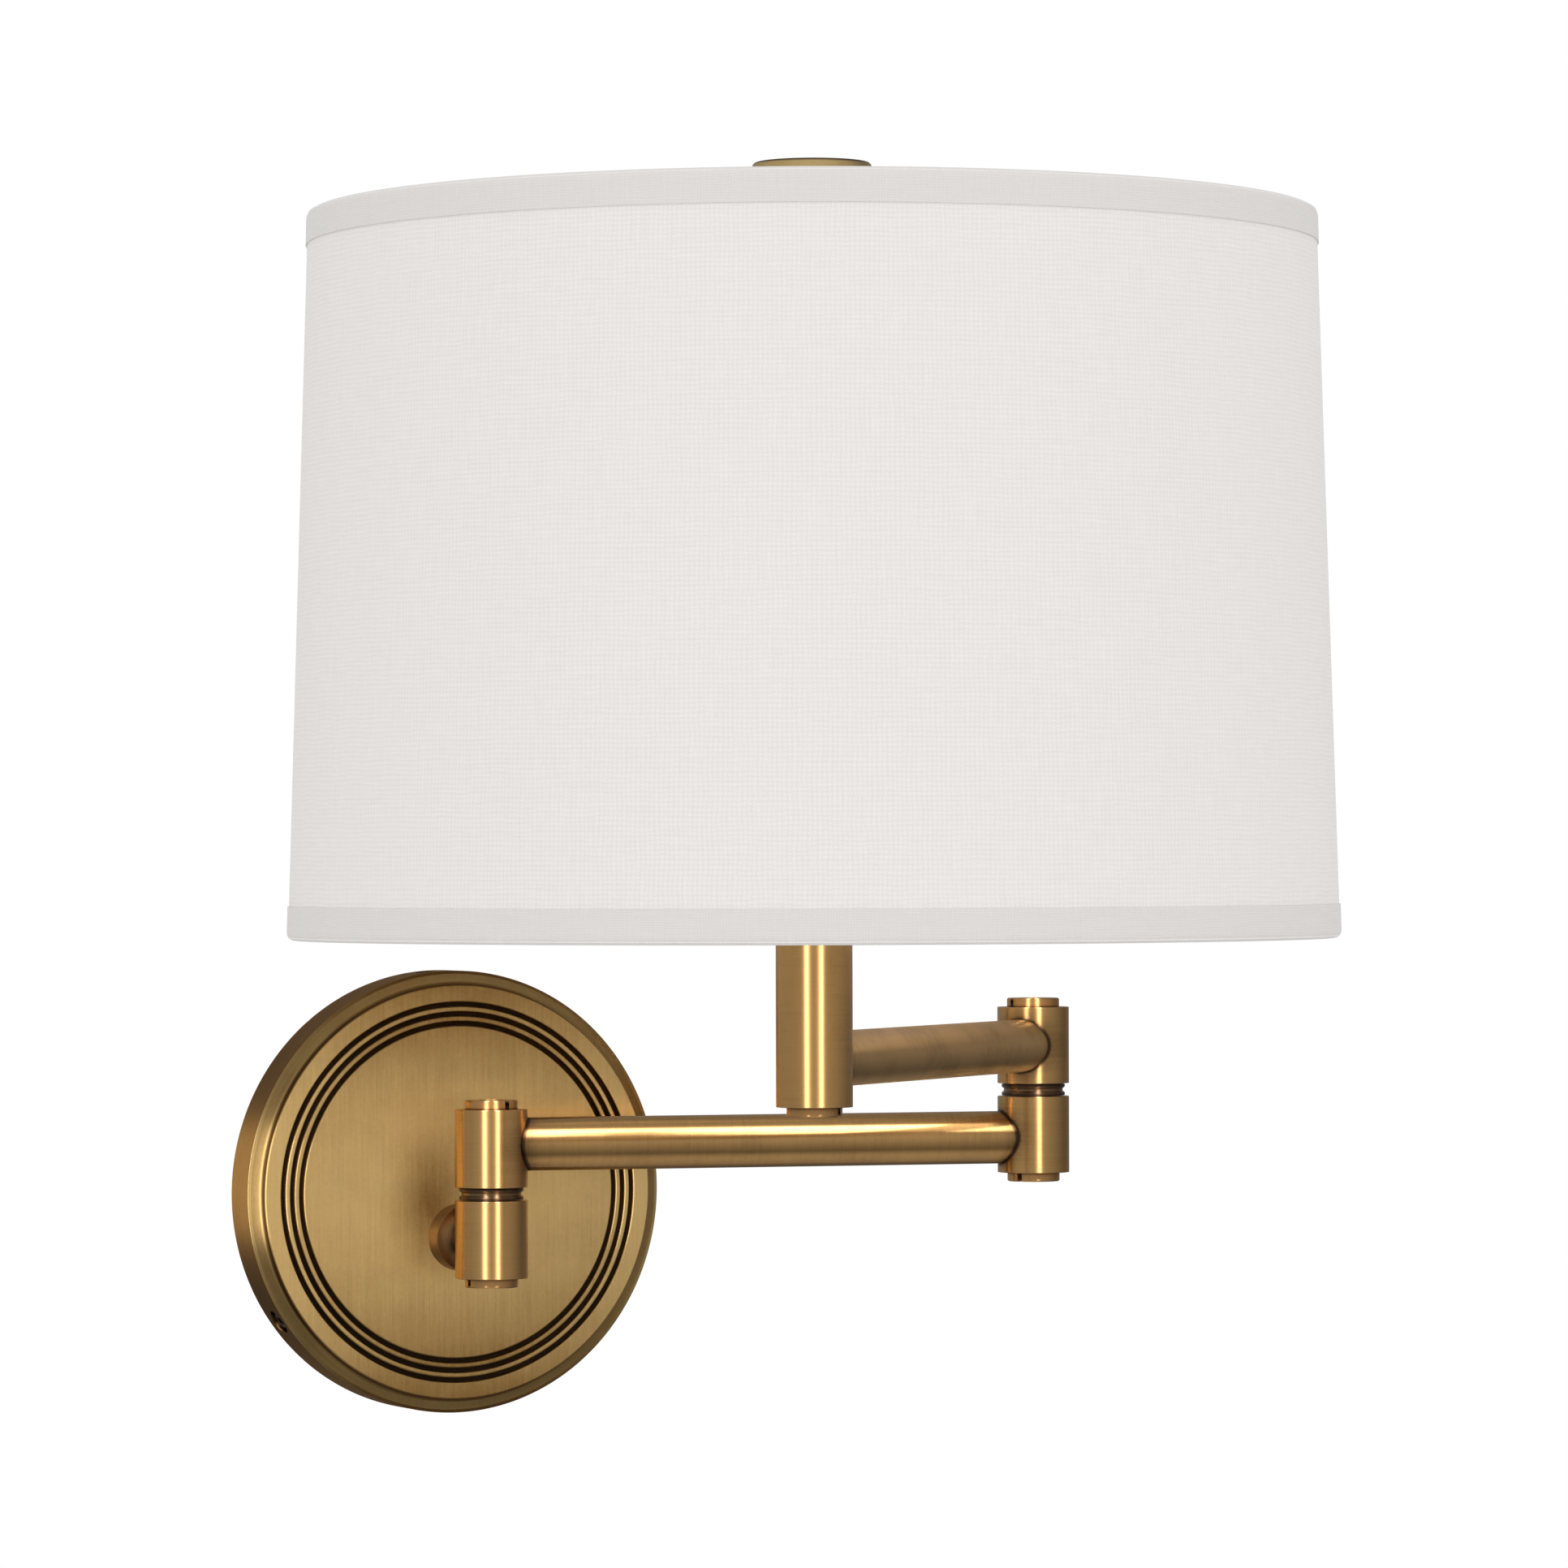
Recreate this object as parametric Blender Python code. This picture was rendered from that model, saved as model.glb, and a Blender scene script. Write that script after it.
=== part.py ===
"""Swing arm wall sconce: a round backplate, two arms on friction knuckles, and a drum shade on a harp.

Frame: the origin is the centre of the backplate's back rim, on the wall. +X runs to the right along
the wall, +Y into the wall and +Z up. Lengths are in metres, angles in degrees until they are used.
"""

import math

import bmesh
import bpy
from mathutils import Vector, geometry

MM = 0.001

# ---------------------------------------------------------------------------------------------
# Driving dimensions
# ---------------------------------------------------------------------------------------------
GAP = 0.3 * MM  # what neighbouring pieces keep between them

# Backplate: a turned pan, open towards the wall. Depths are measured out from the wall.
PLATE_RADIUS = 71.0 * MM
PLATE_DEPTH = 18.7 * MM
PLATE_EDGE_DEPTH = 15.0 * MM
PLATE_STEP_RADIUS = 66.4 * MM
PLATE_STEP_FOOT = 17.2 * MM
PLATE_WALL = 2.5 * MM
PLATE_FACE_WALL = 3.0 * MM
GROOVE_RADII = (60.3 * MM, 57.2 * MM, 54.1 * MM)
GROOVE_WIDTH = 1.6 * MM
GROOVE_DEPTH = 1.3 * MM

# Mounting ring behind the backplate, and the grub screws through the rim that hold the two together
RING_OUTER_RADIUS = 62.0 * MM
RING_INNER_RADIUS = 32.0 * MM
RING_THICKNESS = 1.6 * MM
EAR_WIDTH = 18.0 * MM
EAR_THICKNESS = 3.0 * MM
EAR_DEPTH = 12.0 * MM
EAR_OUTER_RADIUS = 66.0 * MM
BOX_SLOT_CENTRE = 41.3 * MM
BOX_SLOT_LENGTH = 11.0 * MM
BOX_SLOT_WIDTH = 5.0 * MM
RIM_SCREW_ANGLES = (95.0, 215.0, 335.0)
RIM_SCREW_OUT = 8.2 * MM
RIM_SCREW_RADIUS = 3.0 * MM
RIM_HOLE_RADIUS = 4.2 * MM
RIM_SCREW_LENGTH = 8.5 * MM
RIM_SCREW_RECESS = 0.8 * MM
RIM_SCREW_SOCKET = 1.6 * MM
GROUND_SCREW_PLACE = (28.0 * MM, -38.0 * MM)
GROUND_SCREW_HEAD = 4.6 * MM
GROUND_SCREW_SHANK = 2.0 * MM

# Post that carries the wall knuckle
POST_Z = -14.4 * MM
POST_FLANGE_RADIUS = 10.8 * MM
POST_FLANGE_LENGTH = 7.0 * MM
POST_NECK_RADIUS = 6.6 * MM
NIPPLE_RADIUS = 5.0 * MM
NIPPLE_BORE = 3.5 * MM
NUT_RADIUS = 8.2 * MM
NUT_HEIGHT = 4.0 * MM
WASHER_RADIUS = 9.6 * MM
WASHER_HEIGHT = 1.2 * MM

# Knuckles: two barrels, one above the other, clamped on a hollow stem with a grooved spacer between
KNUCKLE_OUT = 45.4 * MM
BARREL_RADIUS = 11.6 * MM
BARREL_LENGTH = 24.7 * MM
BARREL_SPACING = 4.2 * MM
BARREL_WEB = 4.0 * MM
CAP_RADIUS = 8.45 * MM
CAP_PROUD = 2.9 * MM
CAP_LENGTH = 7.4 * MM
CAP_SLOT_WIDTH = 1.6 * MM
CAP_SLOT_DEPTH = 1.5 * MM
SPACER_RADIUS = 10.25 * MM
SPACER_GROOVE = 0.5 * MM
STEM_HEAD_RADIUS = 7.8 * MM
STEM_HEAD_HEIGHT = 2.4 * MM
SPRING_WASHER_HEIGHT = 1.4 * MM
WALL_KNUCKLE_Z = 0.6 * MM
ELBOW_KNUCKLE_Z = 31.6 * MM

# Arms: level tubes between upright axes. Angles are in plan, counterclockwise from +X.
ARM_LENGTH = 181.0 * MM
ARM_RADIUS = 8.5 * MM
ARM_BORE = 7.0 * MM
INNER_ARM_Z = 16.2 * MM
OUTER_ARM_Z = 46.0 * MM
INNER_ARM_ANGLE = -8.9
OUTER_ARM_ANGLE = 221.7
WIRE_HOLE_RADIUS = 4.0 * MM

# Column that carries the lamp head
COLUMN_RADIUS = 11.6 * MM
COLUMN_BOTTOM = 31.9 * MM
COLUMN_TOP = 98.0 * MM
COLUMN_PLUG_FLANGE = 2.0 * MM
COLUMN_PLUG_LENGTH = 10.0 * MM

# Angle of each cap's screwdriver slot, in the frame of the piece that carries the cap
CAP_SLOT_ANGLES = {
    "wall_bottom_cap": -170.0,
    "wall_top_cap": -67.0,
    "elbow_bottom_cap": 40.0,
    "elbow_top_cap": -33.0,
    "column_cap": -53.0,
}

# Harp and its saddle, in the plane through the column's axis and X
SADDLE_HALF_WIDTH = 28.0 * MM
SADDLE_STRIP = 12.0 * MM
SADDLE_THICKNESS = 2.0 * MM
SADDLE_TAB_WIDTH = 4.4 * MM
SADDLE_TAB_HEIGHT = 14.0 * MM
HARP_WIRE = 1.7 * MM
HARP_HALF_WIDTH = 57.0 * MM
HARP_WIDEST_Z = 196.0 * MM
HARP_TOP_HALF = 8.0 * MM
HARP_TOP_Z = 291.0 * MM
FERRULE_RADIUS = 4.3 * MM
FERRULE_BORE = 3.4 * MM
FERRULE_LENGTH = 17.0 * MM

# Lamp socket with its turn switch, and the bulb
SOCKET_RADIUS = 16.2 * MM
SOCKET_CAP_HEIGHT = 15.5 * MM
SOCKET_SHELL_HEIGHT = 32.0 * MM
SOCKET_WALL = 0.8 * MM
SCREW_SHELL_RADIUS = 14.0 * MM
SWITCH_Z = 127.0 * MM
SWITCH_SHAFT_RADIUS = 2.0 * MM
SWITCH_SHAFT_END = 27.0 * MM
SWITCH_KNOB_RADIUS = 4.6 * MM
SWITCH_KNOB_LENGTH = 13.0 * MM
BULB_BASE_RADIUS = 13.1 * MM
BULB_BASE_HEIGHT = 25.0 * MM
BULB_RADIUS = 30.0 * MM
BULB_NECK_RADIUS = 13.6 * MM
BULB_LENGTH = 84.0 * MM
BULB_WALL = 0.9 * MM

# Shade: a slightly tapered drum. Radii are those of the trim's outer face at the two rims.
SHADE_BOTTOM = 82.7 * MM
SHADE_HEIGHT = 219.0 * MM
SHADE_BOTTOM_RADIUS = 158.75 * MM
SHADE_TOP_RADIUS = 152.0 * MM
LAYER_GAP = 0.15 * MM  # between the shade's parallel layers
TRIM_HEIGHT = 10.2 * MM
TRIM_THICKNESS = 0.4 * MM
TRIM_FOLD_WIDTH = 6.0 * MM
FABRIC_THICKNESS = 0.5 * MM
LINER_THICKNESS = 0.6 * MM
SHADE_WIRE = 1.5 * MM
SHADE_WIRE_CLEARANCE = 0.5 * MM
SPIDER_Z = 297.8 * MM
SPIDER_HUB_RADIUS = 9.5 * MM
SPIDER_HUB_THICKNESS = 1.6 * MM
SPIDER_ARM_ANGLES = (90.0, 210.0, 330.0)
SPIDER_ARM_RADIUS = 1.5 * MM
STUD_RADIUS = 3.0 * MM
STUD_FLANGE_RADIUS = 6.5 * MM

# Finial: a flat disc on a short neck
FINIAL_TOP = 316.9 * MM
FINIAL_DISC_RADIUS = 18.05 * MM
FINIAL_DISC_THICKNESS = 4.0 * MM
FINIAL_NECK_RADIUS = 5.0 * MM
FINIAL_FOOT_RADIUS = 7.5 * MM

# Facets round each kind of piece
WIDE_SIDES = 48
HIDDEN_RING_SIDES = 36
BARREL_SIDES = 24
SMALL_SIDES = 16


# ---------------------------------------------------------------------------------------------
# Modelling helpers
# ---------------------------------------------------------------------------------------------
def place(name, data, material, parent=None, location=(0, 0, 0), rotation=(0, 0, 0)):
    """Link an object that holds data; rotation is in degrees."""
    item = bpy.data.objects.new(name, data)
    item.location = location
    item.rotation_euler = [math.radians(angle) for angle in rotation]
    item.parent = parent
    bpy.context.collection.objects.link(item)
    if material:
        data.materials.append(material)
    return item


def mesh_from(bm, name):
    """Turn a bmesh into a mesh with outward faces and smooth round sides."""
    bmesh.ops.recalc_face_normals(bm, faces=bm.faces)
    mesh = bpy.data.meshes.new(name)
    bm.to_mesh(mesh)
    bm.free()
    mesh.shade_smooth()
    mesh.set_sharp_from_angle(angle=math.radians(35))
    return mesh


def turned(name, outline, sides=BARREL_SIDES):
    """Spin an outline of (radius, height) points round +Z; an edge on the axis is left out."""
    bm = bmesh.new()
    points = [bm.verts.new((radius, 0, height)) for radius, height in outline]
    pairs = zip(points, points[1:] + points[:1])
    edges = [bm.edges.new(pair) for pair in pairs if pair[0].co.x > 0 or pair[1].co.x > 0]
    bmesh.ops.spin(
        bm, geom=points + edges, cent=(0, 0, 0), axis=(0, 0, 1), angle=math.tau, steps=sides, use_merge=True
    )
    bmesh.ops.remove_doubles(bm, verts=bm.verts, dist=1e-7)
    return mesh_from(bm, name)


def sleeve(name, outer, bore, bottom, top, sides=BARREL_SIDES):
    """A straight tube along +Z."""
    return turned(name, [(outer, top), (outer, bottom), (bore, bottom), (bore, top)], sides)


def disc(name, radius, bottom, top, sides=SMALL_SIDES):
    """A solid cylinder along +Z."""
    return turned(name, [(0, top), (radius, top), (radius, bottom), (0, bottom)], sides)


def block(name, low, high):
    """A box between two corners."""
    bm = bmesh.new()
    bmesh.ops.create_cube(bm, size=1.0)
    for vert in bm.verts:
        vert.co = [a + (b - a) * (t + 0.5) for a, b, t in zip(low, high, vert.co)]
    return mesh_from(bm, name)


def combine(target, tool_mesh, operation="DIFFERENCE", location=(0, 0, 0), rotation=(0, 0, 0)):
    """Cut a mesh out of target, or join it on, with a live Boolean; the tool sits in the parent's frame."""
    tool = place(target.name + "_tool", tool_mesh, None, target.parent, location, rotation)
    tool.hide_render = True
    tool.display_type = "WIRE"
    modifier = target.modifiers.new(operation.lower(), "BOOLEAN")
    modifier.operation = operation
    modifier.solver = "EXACT"
    modifier.object = tool


def aim(direction):
    """Rotation in degrees that turns +Z towards a direction."""
    return [math.degrees(angle) for angle in Vector(direction).to_track_quat("Z", "Y").to_euler()]


def around(angle, radius):
    """Point at an angle in plan and a distance from +Z."""
    return Vector((radius * math.cos(math.radians(angle)), radius * math.sin(math.radians(angle)), 0))


def quarter_arc(start, end, steps):
    """Points inside a hollow quarter ellipse that leaves start level and arrives at end upright."""
    turn = [math.pi / 2 * step / steps for step in range(1, steps)]
    return [
        (start[0] + (end[0] - start[0]) * math.sin(t), end[1] + (start[1] - end[1]) * math.cos(t)) for t in turn
    ]


def build_nut(looks, name, bottom, parent, location=(0, 0, 0), rotation=(0, 0, 0)):
    """Hexagon nut on the nipple or stem, along its own +Z."""
    blank = disc(name, NUT_RADIUS, bottom, bottom + NUT_HEIGHT, 6)
    item = place(name, blank, looks["steel"], parent, location, rotation)
    bore = disc(name + "_bore", NIPPLE_RADIUS + GAP, bottom - GAP, bottom + NUT_HEIGHT + GAP)
    combine(item, bore, location=location, rotation=rotation)


# ---------------------------------------------------------------------------------------------
# Materials
# ---------------------------------------------------------------------------------------------
def principled(name, colour, metallic, roughness, alpha=1.0):
    material = bpy.data.materials.new(name)
    material.use_nodes = True
    shader = material.node_tree.nodes["Principled BSDF"]
    shader.inputs["Base Color"].default_value = (*colour, 1.0)
    shader.inputs["Metallic"].default_value = metallic
    shader.inputs["Roughness"].default_value = roughness
    shader.inputs["Alpha"].default_value = alpha
    return material


def make_materials():
    return {
        "brass": principled("antique_brass", (0.50, 0.33, 0.13), 1.0, 0.32),
        "cap_brass": principled("cap_brass", (0.55, 0.30, 0.12), 1.0, 0.22),
        "dark_brass": principled("spacer_brass", (0.16, 0.10, 0.05), 1.0, 0.35),
        "steel": principled("zinc_steel", (0.62, 0.62, 0.60), 1.0, 0.35),
        "black_steel": principled("black_screw", (0.03, 0.03, 0.03), 1.0, 0.4),
        "green": principled("ground_green", (0.05, 0.35, 0.12), 0.8, 0.35),
        "fabric": principled("linen_fabric", (0.86, 0.84, 0.81), 0.0, 0.9),
        "trim": principled("linen_trim", (0.80, 0.78, 0.76), 0.0, 0.9),
        "liner": principled("styrene_liner", (0.90, 0.90, 0.88), 0.0, 0.5),
        "wire": principled("painted_wire", (0.82, 0.82, 0.80), 0.2, 0.4),
        "phenolic": principled("black_phenolic", (0.03, 0.028, 0.025), 0.0, 0.35),
        "card": principled("insulating_card", (0.45, 0.36, 0.25), 0.0, 0.8),
        "aluminium": principled("screw_aluminium", (0.75, 0.75, 0.73), 1.0, 0.3),
        "glass": principled("frosted_glass", (0.93, 0.93, 0.92), 0.0, 0.4, 0.5),
    }


# ---------------------------------------------------------------------------------------------
# Wall mount. Its round pieces lie on -Y, so OUT turns +Z of a turned piece away from the wall.
# ---------------------------------------------------------------------------------------------
OUT = (90, 0, 0)


def backplate_outline():
    """Pan section from the back of the rim, over the cove, step and grooves, to the centre hole."""
    edge = (PLATE_RADIUS, PLATE_EDGE_DEPTH)
    foot = (PLATE_STEP_RADIUS, PLATE_STEP_FOOT)
    hole = NIPPLE_RADIUS + GAP
    inside = PLATE_DEPTH - PLATE_FACE_WALL
    inner_radius = PLATE_RADIUS - PLATE_WALL
    outline = [(PLATE_RADIUS, 0), edge, *quarter_arc(edge, foot, 3), foot, (PLATE_STEP_RADIUS, PLATE_DEPTH)]
    for radius in GROOVE_RADII:
        outline += [
            (radius + GROOVE_WIDTH / 2, PLATE_DEPTH),
            (radius + GROOVE_WIDTH / 2, PLATE_DEPTH - GROOVE_DEPTH),
            (radius - GROOVE_WIDTH / 2, PLATE_DEPTH - GROOVE_DEPTH),
            (radius - GROOVE_WIDTH / 2, PLATE_DEPTH),
        ]
    outline += [(0, PLATE_DEPTH), (0, inside), (PLATE_STEP_RADIUS - PLATE_WALL, inside)]
    outline += [(inner_radius, PLATE_EDGE_DEPTH - PLATE_WALL), (inner_radius, 0)]
    return outline, hole


def build_backplate(looks):
    outline, hole = backplate_outline()
    plate = place("backplate", turned("backplate", outline, WIDE_SIDES), looks["brass"], None, (0, 0, 0), OUT)
    bore = disc("nipple_bore", hole, 0, PLATE_DEPTH + GAP)
    combine(plate, bore, location=(0, 0, POST_Z), rotation=OUT)
    for number, angle in enumerate(RIM_SCREW_ANGLES, 1):
        outward = rim_direction(angle)
        reach = PLATE_RADIUS - PLATE_WALL * 2
        start = outward * reach + Vector((0, -RIM_SCREW_OUT, 0))
        rim_bore = disc(f"rim_bore_{number}", RIM_HOLE_RADIUS, 0, PLATE_WALL * 3)
        combine(plate, rim_bore, location=start, rotation=aim(outward))


def rim_direction(angle):
    """Outward direction at an angle round the plate from +X towards +Z."""
    return Vector((math.cos(math.radians(angle)), 0, math.sin(math.radians(angle))))


def build_mounting_ring(looks):
    flat = sleeve("mounting_ring", RING_OUTER_RADIUS, RING_INNER_RADIUS, GAP, GAP + RING_THICKNESS, WIDE_SIDES)
    ring = place("mounting_ring", flat, looks["steel"], None, (0, 0, 0), OUT)
    for angle in RIM_SCREW_ANGLES:
        ear = block(
            "ear",
            (RING_OUTER_RADIUS - EAR_THICKNESS, -EAR_WIDTH / 2, GAP),
            (EAR_OUTER_RADIUS, EAR_WIDTH / 2, GAP + EAR_DEPTH),
        )
        combine(ring, ear, "UNION", rotation=(90, -angle, 0))
    for angle in RIM_SCREW_ANGLES:
        outward = rim_direction(angle)
        start = outward * (RING_OUTER_RADIUS - EAR_THICKNESS * 2) + Vector((0, -RIM_SCREW_OUT, 0))
        bore = disc("ear_bore", RIM_SCREW_RADIUS + GAP, 0, EAR_THICKNESS * 5)
        combine(ring, bore, location=start, rotation=aim(outward))
    for side in (-1, 1):
        middle = side * BOX_SLOT_CENTRE
        slot = block(
            "box_slot",
            (middle - BOX_SLOT_LENGTH / 2, -RING_THICKNESS * 3, -BOX_SLOT_WIDTH / 2),
            (middle + BOX_SLOT_LENGTH / 2, RING_THICKNESS, BOX_SLOT_WIDTH / 2),
        )
        combine(ring, slot)
    x, z = GROUND_SCREW_PLACE
    tapping = disc("ground_bore", GROUND_SCREW_SHANK + GAP, -RING_THICKNESS, RING_THICKNESS * 3, 12)
    combine(ring, tapping, location=(x, 0, z), rotation=OUT)
    return ring


def build_rim_screws(looks):
    tip = PLATE_RADIUS - RIM_SCREW_RECESS - RIM_SCREW_LENGTH
    for number, angle in enumerate(RIM_SCREW_ANGLES, 1):
        outward = rim_direction(angle)
        outline = [
            (0, RIM_SCREW_LENGTH - 3.0 * MM),
            (RIM_SCREW_SOCKET, RIM_SCREW_LENGTH - 3.0 * MM),
            (RIM_SCREW_SOCKET, RIM_SCREW_LENGTH),
            (RIM_SCREW_RADIUS, RIM_SCREW_LENGTH),
            (RIM_SCREW_RADIUS, 1.5 * MM),
            (RIM_SCREW_RADIUS - 1.5 * MM, 0),
            (0, 0),
        ]
        name = f"rim_screw_{number}"
        place(
            name,
            turned(name, outline, 12),
            looks["black_steel"],
            None,
            outward * tip + Vector((0, -RIM_SCREW_OUT, 0)),
            aim(outward),
        )


def build_ground_screw(looks):
    x, z = GROUND_SCREW_PLACE
    seat = GAP * 2 + RING_THICKNESS
    outline = [
        (0, seat + 3.0 * MM),
        (GROUND_SCREW_HEAD, seat + 3.0 * MM),
        (GROUND_SCREW_HEAD, seat),
        (GROUND_SCREW_SHANK, seat),
        (GROUND_SCREW_SHANK, GAP),
        (0, GAP),
    ]
    place("ground_screw", turned("ground_screw", outline, 12), looks["green"], None, (x, 0, z), OUT)


def build_post(looks):
    """Flanged post on the plate's face, its hollow nipple, and the washer and nut behind the face."""
    foot = PLATE_DEPTH + GAP
    flange_top = foot + POST_FLANGE_LENGTH
    cone_end = flange_top + 3.0 * MM
    bore = NIPPLE_RADIUS + GAP
    outline = [
        (POST_NECK_RADIUS, KNUCKLE_OUT),
        (POST_NECK_RADIUS, cone_end),
        (POST_FLANGE_RADIUS - 0.3 * MM, flange_top),
        (POST_FLANGE_RADIUS, flange_top - 0.3 * MM),
        (POST_FLANGE_RADIUS, foot),
        (bore, foot),
        (bore, KNUCKLE_OUT),
    ]
    centre = (0, 0, POST_Z)
    post = place("wall_post", turned("wall_post", outline), looks["brass"], None, centre, OUT)
    cope = disc("barrel_cope", BARREL_RADIUS + GAP, -BARREL_LENGTH, 0, BARREL_SIDES)
    combine(post, cope, location=(0, -KNUCKLE_OUT, WALL_KNUCKLE_Z))

    inside = PLATE_DEPTH - PLATE_FACE_WALL
    washer_top = inside - GAP
    washer_bottom = washer_top - WASHER_HEIGHT
    nut_bottom = washer_bottom - GAP - NUT_HEIGHT
    nipple_end = KNUCKLE_OUT - BARREL_RADIUS + 1.5 * MM
    nipple = sleeve("post_nipple", NIPPLE_RADIUS, NIPPLE_BORE, nut_bottom - 2.0 * MM, nipple_end, SMALL_SIDES)
    place("post_nipple", nipple, looks["steel"], None, centre, OUT)
    washer = sleeve("post_washer", WASHER_RADIUS, bore, washer_bottom, washer_top, SMALL_SIDES)
    place("post_washer", washer, looks["steel"], None, centre, OUT)
    build_nut(looks, "post_nut", nut_bottom, None, centre, OUT)


# ---------------------------------------------------------------------------------------------
# Knuckles
# ---------------------------------------------------------------------------------------------
def build_cap(looks, name, open_end, upward, parent, location=(0, 0, 0)):
    """Slotted plug that closes a barrel's end and stands proud of it; upward is 1 or -1."""
    face = open_end + upward * CAP_PROUD
    chamfer = 0.4 * MM
    outline = [
        (0, face),
        (CAP_RADIUS - chamfer, face),
        (CAP_RADIUS, face - upward * chamfer),
        (CAP_RADIUS, face - upward * CAP_LENGTH),
        (0, face - upward * CAP_LENGTH),
    ]
    turn = (0, 0, CAP_SLOT_ANGLES[name])
    cap = place(name, turned(name, outline, BARREL_SIDES), looks["cap_brass"], parent, location, turn)
    depths = sorted((face - upward * CAP_SLOT_DEPTH, face + upward * GAP))
    slot = block(
        name + "_slot",
        (-CAP_RADIUS * 1.2, -CAP_SLOT_WIDTH / 2, depths[0]),
        (CAP_RADIUS * 1.2, CAP_SLOT_WIDTH / 2, depths[1]),
    )
    combine(cap, slot, location=location, rotation=turn)


def build_barrel(looks, name, web_end, upward, parent, location, hole_z, hole_angle, hole_radius):
    """Barrel bored from its open end down to a web beside the spacer, with a wire hole in its side."""
    open_end = web_end + upward * BARREL_LENGTH
    bore = CAP_RADIUS + GAP
    web = web_end + upward * BARREL_WEB
    stem_hole = NIPPLE_RADIUS + GAP
    outline = [
        (BARREL_RADIUS, open_end),
        (BARREL_RADIUS, web_end),
        (stem_hole, web_end),
        (stem_hole, web),
        (bore, web),
        (bore, open_end),
    ]
    barrel = place(name, turned(name, outline, BARREL_SIDES), looks["brass"], parent, location)
    hole = disc(name + "_wire_hole", hole_radius, BARREL_RADIUS * 0.5, BARREL_RADIUS * 1.3, 12)
    centre = Vector(location) + Vector((0, 0, hole_z))
    combine(barrel, hole, location=centre, rotation=aim(around(hole_angle, 1)))
    return open_end


def build_knuckle(looks, prefix, lower, upper, middle):
    """Two barrels with their spacer, stem, spring washer, nut and caps.

    lower and upper each give the barrel's name, parent, plan location and wire hole.
    """
    half = BARREL_SPACING / 2
    lower_name, lower_parent, lower_location, lower_hole = lower
    upper_name, upper_parent, upper_location, upper_hole = upper
    bottom = build_barrel(looks, lower_name, middle - half, -1, lower_parent, lower_location, *lower_hole)
    top = build_barrel(looks, upper_name, middle + half, 1, upper_parent, upper_location, *upper_hole)
    build_cap(looks, prefix + "_bottom_cap", bottom, -1, lower_parent, lower_location)
    build_cap(looks, prefix + "_top_cap", top, 1, upper_parent, upper_location)

    bore = NIPPLE_RADIUS + GAP
    spacer_half = half - GAP
    groove = SPACER_RADIUS - SPACER_GROOVE
    spacer = [
        (SPACER_RADIUS, middle + spacer_half),
        (SPACER_RADIUS, middle + spacer_half * 0.55),
        (groove, middle + spacer_half * 0.35),
        (groove, middle - spacer_half * 0.35),
        (SPACER_RADIUS, middle - spacer_half * 0.55),
        (SPACER_RADIUS, middle - spacer_half),
        (bore, middle - spacer_half),
        (bore, middle + spacer_half),
    ]
    spacer_mesh = turned(prefix + "_spacer", spacer)
    place(prefix + "_spacer", spacer_mesh, looks["dark_brass"], lower_parent, lower_location)

    head_top = middle - half - BARREL_WEB - GAP
    washer_bottom = middle + half + BARREL_WEB + GAP
    nut_bottom = washer_bottom + SPRING_WASHER_HEIGHT + GAP
    stem_top = nut_bottom + NUT_HEIGHT + 0.6 * MM
    stem = [
        (NIPPLE_RADIUS, stem_top),
        (NIPPLE_RADIUS, head_top),
        (STEM_HEAD_RADIUS, head_top),
        (STEM_HEAD_RADIUS, head_top - STEM_HEAD_HEIGHT),
        (NIPPLE_BORE, head_top - STEM_HEAD_HEIGHT),
        (NIPPLE_BORE, stem_top),
    ]
    stem_mesh = turned(prefix + "_stem", stem, SMALL_SIDES)
    place(prefix + "_stem", stem_mesh, looks["steel"], lower_parent, lower_location)
    washer = [
        (STEM_HEAD_RADIUS, washer_bottom + SPRING_WASHER_HEIGHT / 2),
        (STEM_HEAD_RADIUS, washer_bottom),
        (bore, washer_bottom + SPRING_WASHER_HEIGHT / 2),
        (bore, washer_bottom + SPRING_WASHER_HEIGHT),
    ]
    washer_mesh = turned(prefix + "_spring_washer", washer, SMALL_SIDES)
    place(prefix + "_spring_washer", washer_mesh, looks["steel"], lower_parent, lower_location)
    build_nut(looks, prefix + "_nut", nut_bottom, lower_parent, lower_location)


def build_arm(looks, name, height, parent):
    """Level tube along the parent's +X, coped at both ends round the barrels it joins."""
    tube = sleeve(name, ARM_RADIUS, ARM_BORE, 0, ARM_LENGTH)
    arm = place(name, tube, looks["brass"], parent, (0, 0, height), (0, 90, 0))
    for reach in (0, ARM_LENGTH):
        cope = disc(name + "_cope", BARREL_RADIUS + GAP, -ARM_RADIUS * 2, ARM_RADIUS * 2, BARREL_SIDES)
        combine(arm, cope, location=(reach, 0, height))


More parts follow.
